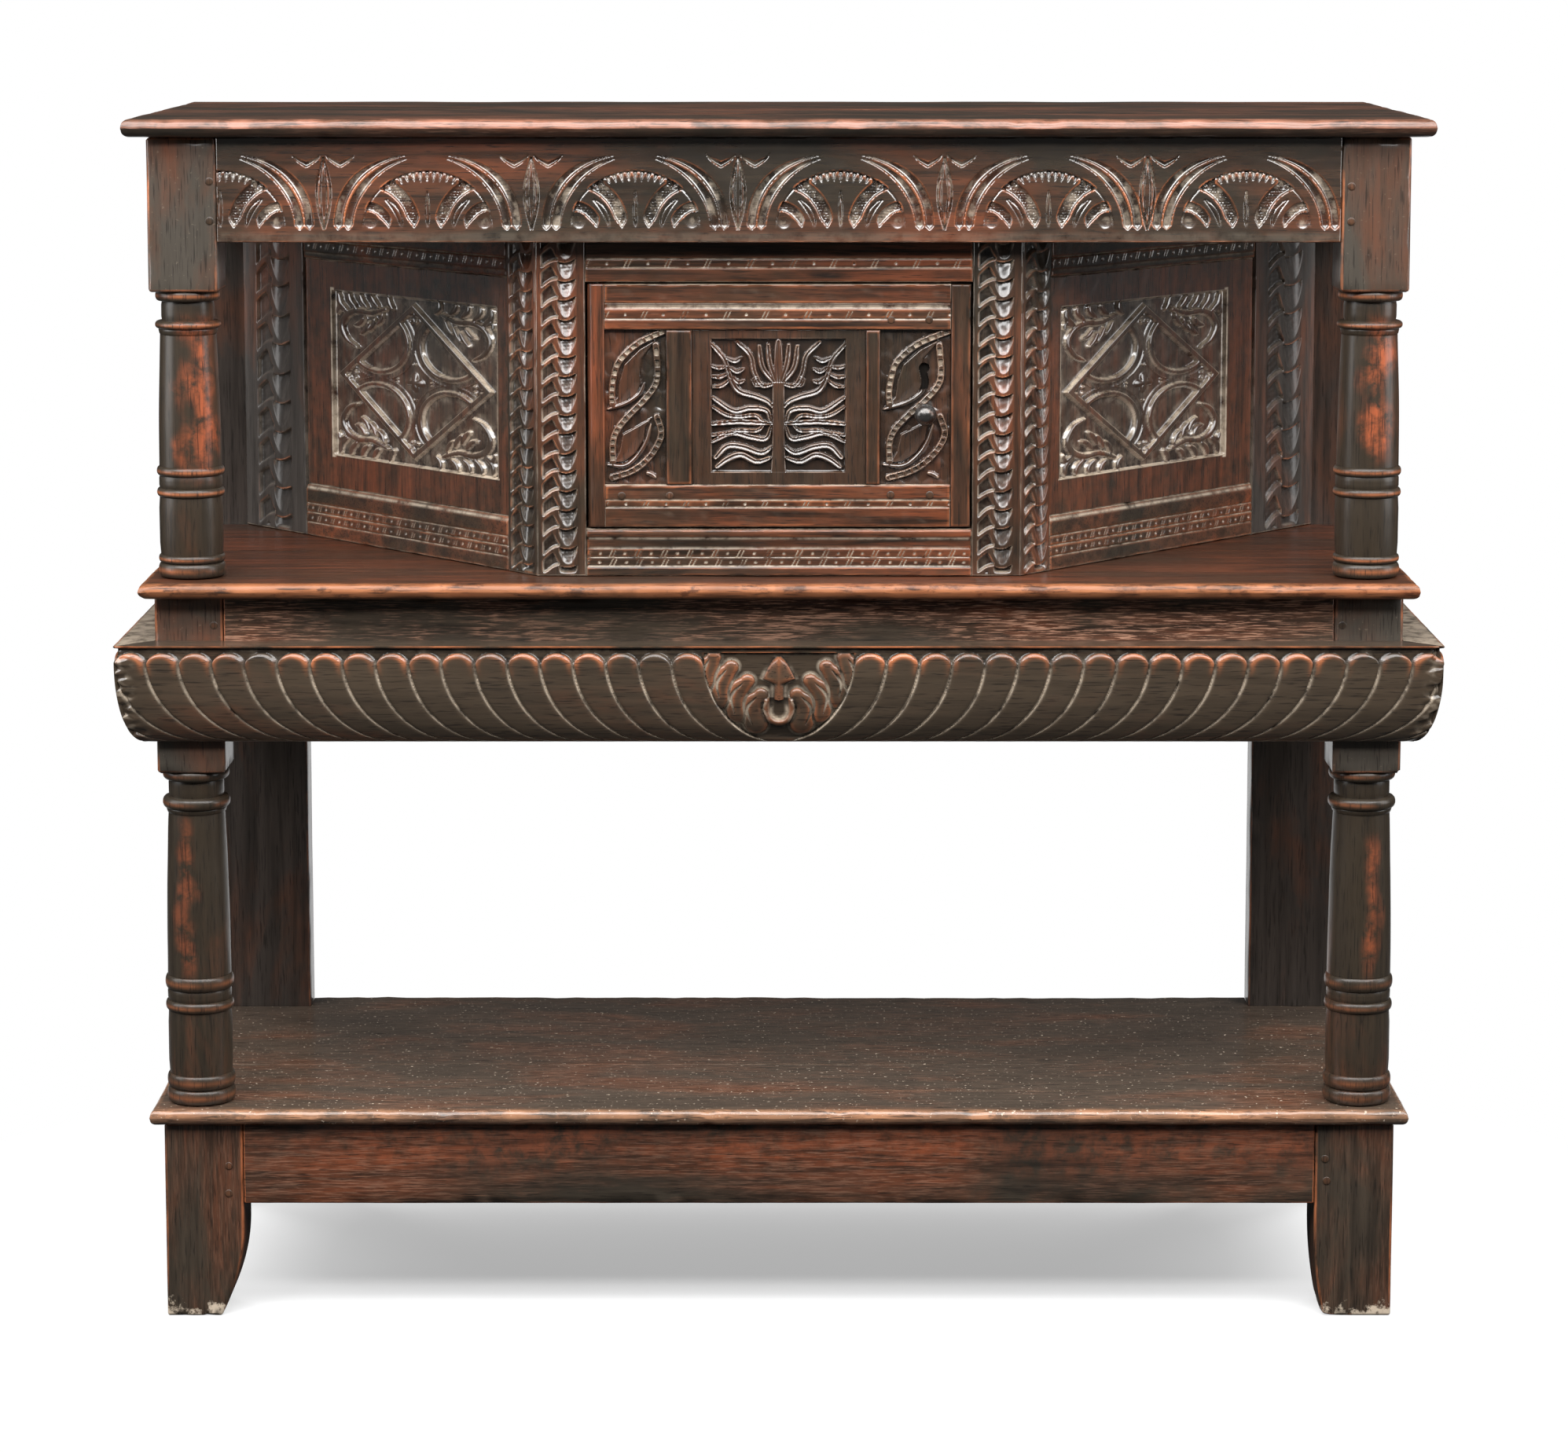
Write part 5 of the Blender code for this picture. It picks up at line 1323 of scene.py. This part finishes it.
def board(node, material, seed, front=False, notch_at=None, cracks=(), ragged=0.0, pale=0.0, under_wear=0.5,
          grime=0.0):
    """A board with thumb-moulded ends and, if asked, front; notch_at cuts its rear corners."""
    x0, y0, z0 = low(node)
    x1, y1, z1 = high(node)
    radius = 0.46 * (z1 - z0)
    xs = spaced(x0, x1, 11 * MM, 0.9 * MM, 1.15 * radius)
    ys = spaced(y0, y1, 9 * MM, 0.9 * MM, 1.15 * radius)
    extra_x = [-notch_at[0], notch_at[0]] if notch_at else []
    extra_y = [notch_at[1]] if notch_at else []
    for at, *_ in cracks:
        extra_y += [at - 1.2 * MM, at - 0.4 * MM, at, at + 0.4 * MM, at + 1.2 * MM]
    xs = np.unique(np.concatenate((xs, extra_x)))
    ys = np.unique(np.concatenate((ys, extra_y)))
    x, y = np.meshgrid(xs, ys)
    rim = np.minimum(x - x0, x1 - x)
    square = y1 - y
    if front:
        rim = np.minimum(rim, y - y0)
    else:
        square = np.minimum(square, y - y0)
    reach_at = radius * (1 + 0.10 * wobble(x, y, 0.12, seed))
    inside = np.clip(reach_at - rim, 0, reach_at)
    drop = reach_at - np.sqrt(np.maximum(reach_at ** 2 - inside ** 2, 0))
    drop = np.maximum(drop, np.clip(SQUARE_ARRIS - square, 0, SQUARE_ARRIS))
    nicks = unit(wobble(x, y, 0.035, seed + 4) - 0.35) * 1.6 * MM
    drop = drop + nicks * step_between(radius * 1.3 - rim, 0, radius)
    top = z1 - drop - 0.25 * MM * np.maximum(1 + wobble(x, y, 0.16, seed + 1), 0)
    sunk = np.zeros(x.shape)
    for at, start, stop, depth in cracks:
        window = step_between(x, start, start + 0.08) * step_between(stop - x, 0, 0.08)
        top = top + notch(y - at, 1.0 * MM, depth) * window
        sunk = np.maximum(sunk, grime * window * (np.abs(y - at) < 1.3 * MM))
    bottom = z0 + np.minimum(drop, radius)
    inner = step_between(y, y0, y0 + 0.03) * step_between(y1 - y, 0, 0.03)
    swayed = y + 1.6 * MM * wobble(x, 0 * x, 0.45, seed + 2) * inner
    if ragged:
        waves = 0.45 * wobble(x, 0 * x, 0.22, seed + 5) + 0.25 * wobble(x, 0 * x, 0.03, seed + 6)
        swayed = swayed - ragged * unit(0.55 + waves) * step_between(y, y1 - 0.02, y1)
    keep = np.ones((len(ys) - 1, len(xs) - 1), bool)
    if notch_at:
        middle_x = np.abs((xs[:-1] + xs[1:]) / 2) > notch_at[0]
        middle_y = (ys[:-1] + ys[1:]) / 2 > notch_at[1]
        keep &= ~(middle_y[:, None] & middle_x[None, :])
    faces = board_faces(keep)
    used, packed = np.unique(faces, return_inverse=True)
    points = np.concatenate([np.stack((x, swayed, z), -1).reshape(-1, 3) for z in (top, bottom)])
    wear = unit(1.25 - rim / radius) * (0.75 + 0.25 * wobble(x, y, 0.05, seed + 3))
    # A board with no wear underneath has its underside painted dark, as the shade under its nosing
    painted_underside_shade = np.full(x.shape, 0.8 * (under_wear == 0))
    chipped = unit(0.5 + wobble(x, y, 0.03, seed + 7))
    bare = pale * step_between(y, y1 - 4 * MM, y1 - 1 * MM) * chipped
    marks = {key: np.concatenate((over.ravel(), under.ravel()))[used]
             for key, over, under in (("wear", wear, wear * under_wear), ("sunk", sunk, painted_underside_shade),
                                      ("bare", bare, 0 * bare))}
    thing = make_object(node + "_dressed", points[used], [packed.reshape(faces.shape)], marks, sharp=45)
    place(thing, "carcass", node, "worn_oak", material)


def boards():
    """The two boards of each shelf and of the top."""
    corner = (-high("rear_post_left")[0] - GAP, low("rear_post_left")[1] - GAP)
    for name, material, cracks_front, cracks_rear, ragged, pale in (
            ("lower_shelf", LOW_SHELF_OAK, ((-0.15, -0.2, 0.9, 0.7 * MM),), (), 7 * MM, 0.8),
            ("mid_shelf", SHELF_OAK, (), (), 0.0, 0.0),
            ("top_board", TOP_OAK, ((-0.150, -0.7, 0.2, 1.2 * MM), (-0.085, -0.3, 0.7, 1.2 * MM)),
             ((0.09, -0.7, 0.3, 1.2 * MM),), 0.0, 0.0)):
        top = name == "top_board"
        seed = len(name) * 7
        # The top board's front takes no wear underneath, and so has its underside painted with shade
        board(f"{name}_front", material, seed, front=True, cracks=cracks_front, pale=0.5 * pale,
              under_wear=0.0 if top else 0.5, grime=float(top))
        board(f"{name}_rear", material, seed + 20, notch_at=None if top else corner, cracks=cracks_rear,
              ragged=ragged, pale=pale, grime=1.0)


def red_above(points):
    """Red wood in the upper part of the front base rail."""
    middle = (low("base_rail_front")[2] + high("base_rail_front")[2]) / 2
    patch = 1 + 0.6 * wobble(points[:, 0], points[:, 2], 0.20, 77)
    return 0.40 * patch * step_between(points[:, 2], middle - 0.025, middle + 0.02)


def timbers():
    """Rails, posts and back boards as squared, worn timbers."""
    rear_inner = high("rear_post_left")[0]
    rear_face = low("rear_post_left")[1]
    for stage, material, front_inner, depth in (("frieze", OAK_X, BLOCK_INNER, HALF - BLOCK_INNER),
                                                ("mid", RAIL_OAK, BLOCK_INNER, HALF - BLOCK_INNER),
                                                ("base", BASE_OAK, low("front_foot_right")[0], BASE_BLOCK)):
        z0, z1 = low(f"{stage}_rail_front")[2], high(f"{stage}_rail_front")[2]
        y0, y1 = FRONT + depth + GAP, rear_face - GAP
        spans = {"rear": ((rear_inner + GAP, BACK - WALL, z0), (-rear_inner - GAP, BACK, z1), OAK_X),
                 "left": ((-HALF, y0, z0), (-HALF + WALL, y1, z1), OAK_Y),
                 "right": ((HALF - WALL, y0, z0), (HALF, y1, z1), OAK_Y)}
        if stage != "frieze":
            end = front_inner - GAP
            spans["front"] = ((-end, FRONT, z0), (end, FRONT + WALL, z1), material)
        for part, (first, last, finish) in spans.items():
            node = f"{stage}_rail_{part}"
            add_block(node, first, last, "plain_oak", finish, radius=1.8 * MM, step=12 * MM,
                      seed=len(node) + ord(part[0]), rub=red_above if node == "base_rail_front" else None)
    for node, finish, radius, seed in (("rear_post_left", POST_OAK, 2.2 * MM, 74),
                                       ("rear_post_right", POST_OAK, 2.2 * MM, 75),
                                       ("back_board_lower", OAK_X, 1.2 * MM, 80),
                                       ("back_board_upper", OAK_X, 1.2 * MM, 80)):
        add_block(node, low(node), high(node), "plain_oak", finish, radius=radius, step=14 * MM, seed=seed)


GADROON_TOP = high("gadroon_moulding_front")[2]
GADROON_HEIGHT = GADROON_TOP - low("gadroon_moulding_front")[2]
GADROON_STAND = FRONT - low("gadroon_moulding_front")[1]
GADROON_PITCH = 30.6 * MM
GADROON_CENTRE = 70 * MM    # half-width of the leafy middle
GADROON_SWEEP = 72 * MM     # how far a lobe leans between its head and its foot
GADROON_FILLET = 7 * MM
GADROON_FOOT = 6 * MM       # stand of the section at its foot
GADROON_ROUND = 2.3         # squareness of the section
GADROON_ROWS = 150
# Middle lines of the leaflets in one wing, in millimetres from the centre and below the top
WING_LEAFLETS = (
    ((61, 11.5), (66, 22), (66, 34)), ((44.5, 21), (54, 35), (52, 52)),
    ((29.5, 35), (41, 49), (38, 67)), ((16.8, 49), (26.5, 62), (21.5, 79)),
)


def gadroon_section(part):
    """Stand of the plain rounded section at a share of the height below the fillet."""
    rounded = unit(1 - part ** GADROON_ROUND) ** (1 / GADROON_ROUND)
    return GADROON_FOOT + (GADROON_STAND - GADROON_FOOT) * rounded


def acanthus(x, drop):
    """Leafy wings, bud and cup in the middle of the waist: heights below the lobes, and pale parts."""
    side = np.abs(x)
    ground = -7.0 * MM
    level = np.full(x.shape, ground)
    pale = np.zeros(x.shape)
    edges, veins = [], []
    for points in WING_LEAFLETS:
        line = curve(np.array(points) * MM)
        distance, share = along_line(side, drop, line)
        half = (7.0 + 4.4 * step_between(share, 0, 0.5)) * MM
        edges.append(distance - half)
        level = np.maximum(level, ground + 6.6 * MM * dome(distance / half) ** 0.5)
        veins.append(along_line(side, drop, line + np.array((3.6, 1.2)) * MM))
    nearest = np.sort(np.stack(edges), axis=0)
    leafy = nearest[0] < 0
    seam = unit(1 - (nearest[1] - nearest[0]) / (3.2 * MM)) * leafy
    level = level - 2.6 * MM * seam
    pale = np.maximum(pale, 0.75 * seam)
    for vein, along in veins:
        wide = 1.5 * MM * np.sin(unit(along) * math.pi) + HAIR
        level = level + np.where(leafy, hollow(vein, wide, 1.8 * MM), 0)
        pale = np.maximum(pale, np.where(leafy, 0.6 * unit(1.2 - vein / wide), 0))
    pale = np.maximum(pale, np.where(leafy, 0, 0.5 * unit(1 - nearest[0] / (3.0 * MM))))
    rise = drop - 10.5 * MM
    spade = 15 * MM * unit(rise / (22.8 * MM)) ** 0.6
    stem = 4.5 * MM + 10.5 * MM * unit(1 - (rise - 22.8 * MM) / (5 * MM))
    bud = np.where(rise < 22.8 * MM, spade, np.where(rise < 46 * MM, stem, 0))
    bud = np.maximum(bud, 0.1 * MM)
    ridge = 1 - unit(side / bud) ** 1.4
    halo = unit(1 - np.abs(side - bud - 1.5 * MM) / (3 * MM)) * step_between(rise, 4 * MM, 26 * MM)
    pale = np.maximum(pale, np.where((rise < 44 * MM) & ~leafy, 0.6 * halo, 0))
    level = np.where(side < bud, np.maximum(level, ground + 2.2 * MM + 4.7 * MM * ridge), level)
    pale = np.where(side < bud, 0, pale)
    ring = np.hypot(side, np.maximum(drop - 66 * MM, 0))
    open_top = step_between(drop, 49 * MM, 55 * MM)
    wall = dome((ring - 12.0 * MM) / (3.6 * MM))
    cup = (ring < 9 * MM) & (drop > 54 * MM)
    level = np.where(cup, ground - 1.5 * MM, level)
    rim = unit(1 - np.abs(ring - 7.6 * MM) / (3.2 * MM)) * step_between(drop, 55 * MM, 63 * MM)
    pale = np.where(ring < 11 * MM, np.where(drop > 52 * MM, 0.9 * rim, pale), pale)
    return np.maximum(level, ground + 6.9 * MM * wall * open_top), pale


def even_drops():
    """Depths below the moulding's top that lie evenly along its rounded section."""
    part = np.sin(np.linspace(0, math.pi / 2, 2000))
    down = GADROON_FILLET + (GADROON_HEIGHT - GADROON_FILLET) * part
    stand = gadroon_section(part)
    run = np.concatenate(((0,), np.cumsum(np.hypot(np.diff(down), np.diff(stand)))))
    even = np.interp(np.linspace(0, run[-1], GADROON_ROWS), run, down)
    return np.concatenate((np.linspace(0, GADROON_FILLET * 0.95, 8), even))


def gadroon_face(x, drop, half, centred, seed):
    """Stand of the carved face at each point, with its wear, hollow and bare-wood marks."""
    part = unit((drop - GADROON_FILLET) / (GADROON_HEIGHT - GADROON_FILLET))
    bend = GADROON_SWEEP * (1 - dome(part))
    inward = np.abs(x) + bend if centred else x + half + bend
    start = GADROON_CENTRE if centred else 0.0
    lobes = (inward - start) / GADROON_PITCH
    across = 2 * (lobes - np.floor(lobes)) - 1
    side = unit(1 - np.abs(across) ** 9) ** (1 / 2.4)
    lip = 0.44 * GADROON_PITCH * (1 - dome(across))
    below = unit((drop - GADROON_FILLET - lip) / (5 * MM))
    end = dome(1 - below)
    fade = step_between(1.0 - part, 0.0, 0.10)
    body = drop > GADROON_FILLET
    deep = 4.4 * MM
    fillet = -deep * step_between(drop, 1.6 * MM, 2.6 * MM)
    cut = np.where(body, -deep * (0.3 + 0.7 * fade) * (1 - side * end), fillet)
    groove = np.exp(-((1 - np.abs(across)) * GADROON_PITCH / 2 / (1.1 * MM)) ** 2)
    bare = np.where(body, groove * step_between(part, 0.05, 0.35), 0.0)
    if centred:
        middle = body & (inward < start)
        leaf, pale = acanthus(x, drop)
        cut = np.where(middle, np.minimum(leaf, 0.0) * fade, cut)
        bare = np.where(middle, pale, bare)
    arris = 0.2 * np.clip(1.6 * MM - drop, 0, 1.6 * MM)
    rough = 0.12 * MM * np.maximum(1 + wobble(x, drop, 0.05, seed + 1), 0)
    stand = gadroon_section(part) + cut - arris - rough
    if centred:
        broken = step_between(np.abs(x), half - 0.022, half)
        ragged = unit(wobble(x, drop, 0.018, seed) + 0.3)
        stand = stand - broken * 3.0 * MM * ragged
        bare = np.maximum(bare, 0.35 * broken * unit(wobble(x, drop, 0.012, seed + 3)))
    wide = cut - blur(cut, 3)
    wear = unit(wide / (0.6 * MM)) * step_between(0.30 - part, 0, 0.25)
    if centred:
        wear = np.where(middle, 0.6 * unit(wide / (0.6 * MM)), wear)
    wear = np.maximum(wear, unit(1.3 - drop / (1.4 * MM)))
    # Hollows darken by this mark: dirt and painted shade
    sunk = unit(-wide / (1.4 * MM))
    return np.maximum(stand, 1 * MM), {"wear": wear, "sunk": sunk, "bare": bare}


def gadroon(node, length, mitres, middle, turn, centred, seed, pieces):
    """The carved moulding of one side, along X with its face towards -Y, then turned into place.

    Each of its pieces is (first, last, columns of points).
    """
    half = length / 2
    cosine, sine = math.cos(turn), math.sin(turn)
    for number, (first, last, count) in enumerate(pieces):
        x, drop = np.meshgrid(np.linspace(first, last, count), even_drops())
        stand, marks = gadroon_face(x, drop, half, centred, seed)
        flat = np.ones((1, count))
        stand = np.vstack((GAP * flat, GAP * flat, stand[:1] - 2.5 * MM, stand))
        drop = np.vstack((GADROON_HEIGHT * flat, 0 * flat, 0 * flat, drop))
        ledge = {"bare": 0.0 if centred else 0.55}
        marks = {key: np.vstack((0 * flat, ledge.get(key, 0.0) * np.ones((2, count)), mark))
                 for key, mark in marks.items()}
        left = -half - stand * mitres[0]
        right = half + stand * mitres[1]
        x = left + (right - left) * (np.vstack((x[:3], x)) + half) / length
        points = np.stack((x * cosine + stand * sine, x * sine - stand * cosine, -drop), -1)
        index = np.arange(x.size).reshape(x.shape)
        under = np.roll(index, -1, axis=0)
        quads = np.stack((index[:, :-1], under[:, :-1], under[:, 1:], index[:, 1:]), -1).reshape(-1, 4)
        ends = points[:, [0, -1]].reshape(-1, 3)
        cap = x.size + np.arange(len(ends)).reshape(-1, 2)
        caps = [cap[:, 0][::-1][None, :], cap[:, 1][None, :]]
        marks = {key: np.concatenate((mark.ravel(), np.zeros(len(ends)))) for key, mark in marks.items()}
        points = np.vstack((points.reshape(-1, 3), ends)) + np.asarray(middle, float)
        thing = make_object(f"{node}_dressed_{number + 1}", points, [quads, *caps], marks, sharp=55)
        place(thing, "carcass", node, "carved_oak", GADROON_OAK)


def waist():
    """The front moulding in three pieces, and the two that return along the sides."""
    half = HALF - GAP / 2
    centre = 78 * MM
    gadroon("gadroon_moulding_front", 2 * half, (1, 1), (0, FRONT, GADROON_TOP), 0.0, True, 80,
            ((-half, -centre, 600), (-centre, centre, 250), (centre, half, 600)))
    depth = BACK - FRONT - GAP
    for side, sign, mitres in (("left", -1, (0, 1)), ("right", 1, (1, 0))):
        middle = (sign * HALF, (FRONT + BACK) / 2 + GAP / 2, GADROON_TOP)
        gadroon(f"gadroon_moulding_{side}", depth, mitres, middle, sign * math.pi / 2, False, 85 + sign,
                ((-depth / 2, depth / 2, 420),))


def hinge_stile():
    """The door's hinge stile, whose outer edge is rounded about the pins."""
    node = "door_stile_hinge"
    first, last = low(node), high(node)
    radius = (last[1] - first[1]) / 2
    centre = first[:2] + radius
    inner = low("door_rail_top")[0] + TONGUE
    outline = [(inner, last[1]), (centre[0], last[1])]
    for angle in np.linspace(math.pi / 2, math.pi * 1.5, 19)[1:-1]:
        outline.append((centre[0] + radius * math.cos(angle), centre[1] + radius * math.sin(angle)))
    outline += [(x, first[1]) for x in np.linspace(centre[0], inner - 1.2 * MM, 8)]
    outline += [(inner - 0.3 * MM, first[1] + 0.4 * MM), (inner, first[1] + 1.3 * MM)]
    x, y = np.array(outline).T
    heights = spaced(first[2], last[2], 6 * MM, 0.6 * MM, 2 * MM)
    points = []
    for z in heights:
        shrink = 0.15 * MM * (1 + wobble(x, z + 0 * x, 0.04, 91))
        end = np.clip(1.4 * MM - min(z - first[2], last[2] - z), 0, 1.4 * MM) * 0.6
        worn = np.where(y < first[1] + 3 * MM, y + shrink + end, y)
        points.append(np.stack((x, worn, z + 0 * y), -1))
    index = np.arange(len(x) * len(heights)).reshape(len(heights), len(x))
    after = np.roll(index, -1, axis=1)
    quads = np.stack((index[:-1], index[1:], after[1:], after[:-1]), -1).reshape(-1, 4)[:, ::-1]
    wear = np.where(np.arange(len(x)) >= len(x) - 2, 0.8, 0.0)
    marks = {"wear": np.tile(wear, len(heights)), "sunk": np.zeros(index.size)}
    thing = make_object(node + "_dressed", np.vstack(points),
                        [quads, index[0][::-1][None, :], index[-1][None, :]], marks)
    place(thing, "door", node, "carved_oak", DOOR_OAK_Z)


def lock_stile():
    """The door's plain lock stile."""
    node = "door_stile_lock"
    first, last = low(node), high(node)
    size = last - first
    add_relief(node, front_face(*first), (size[0], size[2]), 1.2 * MM, plain, size[1], MUNTIN_OAK,
               body="door", seed=92)


KNOB_NECK = 5.5 * MM
KNOB_STEPS = 24
TO_FRONT = ((1, 0, 0), (0, 0, -1), (0, 1, 0))   # lays an upright turning so that it points to the front


def knob():
    """The ball knob on its collar and shank."""
    node = "door_knob"
    first, last = low(node), high(node)
    ball = (last[2] - first[2]) / 2
    tip = last[1] - first[1]
    neck = tip - 2 * ball
    profile = [(3 * MM, -1 * MM), (3 * MM, neck - 3 * MM), (KNOB_NECK + 1.4 * MM, neck - 2.6 * MM),
               (KNOB_NECK + 1.2 * MM, neck - 1.0 * MM), (KNOB_NECK, neck + 0.4 * MM)]
    begin = math.asin(KNOB_NECK / ball)
    for step in range(1, KNOB_STEPS):
        angle = begin + (math.pi - begin) * step / KNOB_STEPS
        profile.append((ball * math.sin(angle), tip - ball - ball * math.cos(angle)))
    middle = ((first[0] + last[0]) / 2, last[1], (first[2] + last[2]) / 2)
    thing = turned(node + "_dressed", profile, middle, 40, 93, np.zeros(len(profile)), turn=TO_FRONT)
    place(thing, "door", node, "iron", KNOB_IRON)


# Peg heads: body, face they stand in, radius and places across and up
PEGS = (
    ("carcass", FRONT, 4.2 * MM, ((-0.5587, 0.7059), (0.5571, 0.7059), (-0.5560, 1.1443), (-0.5560, 1.1059),
                                  (0.5590, 1.1397), (0.5589, 1.1052), (-0.5531, 0.1559), (-0.5535, 0.1275),
                                  (0.5487, 0.1632), (0.5507, 0.1405))),
    ("door", FACE_Y, 4.0 * MM, ((-0.1559, 0.8316), (-0.1084, 0.8316), (0.1106, 0.8324), (0.1495, 0.8324),
                                (0.1108, 1.0066), (0.1480, 1.0066))),
)


def pegs():
    """Slightly domed ends of the oak pegs through the joints."""
    for body, y, radius, places in PEGS:
        shape = [(radius, -2 * MM), (radius, 0.2 * MM)]
        shape += [(radius * math.cos(angle), 0.2 * MM + 0.7 * MM * math.sin(angle))
                  for angle in np.linspace(0.3, 1.45, 6)]
        wear = np.linspace(0.0, 0.2, len(shape))
        for number, (x, z) in enumerate(places):
            thing = turned(f"{body}_peg_{number}", shape, (x, y, z), 14, 100 + number, wear, turn=TO_FRONT)
            place(thing, body, None, "worn_oak", PILLAR_OAK)


timbers()
boards()
for stage, side in PILLARS:
    pillar(stage, side)
foot("left", 0.024, 241)
foot("right", 0.010, 242)
waist()
hinge_stile()
lock_stile()
knob()
pegs()
frieze_and_face()
canted_side("left")
canted_side("right")
door_front()

# The CAD nodes that stay in view take a detailed finish of their own
for node in ("hinge_pin_top", "hinge_pin_bottom", "lock_case", "lock_bolt"):
    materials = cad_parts[node].data.materials
    for index in range(len(materials)):
        materials[index] = IRON
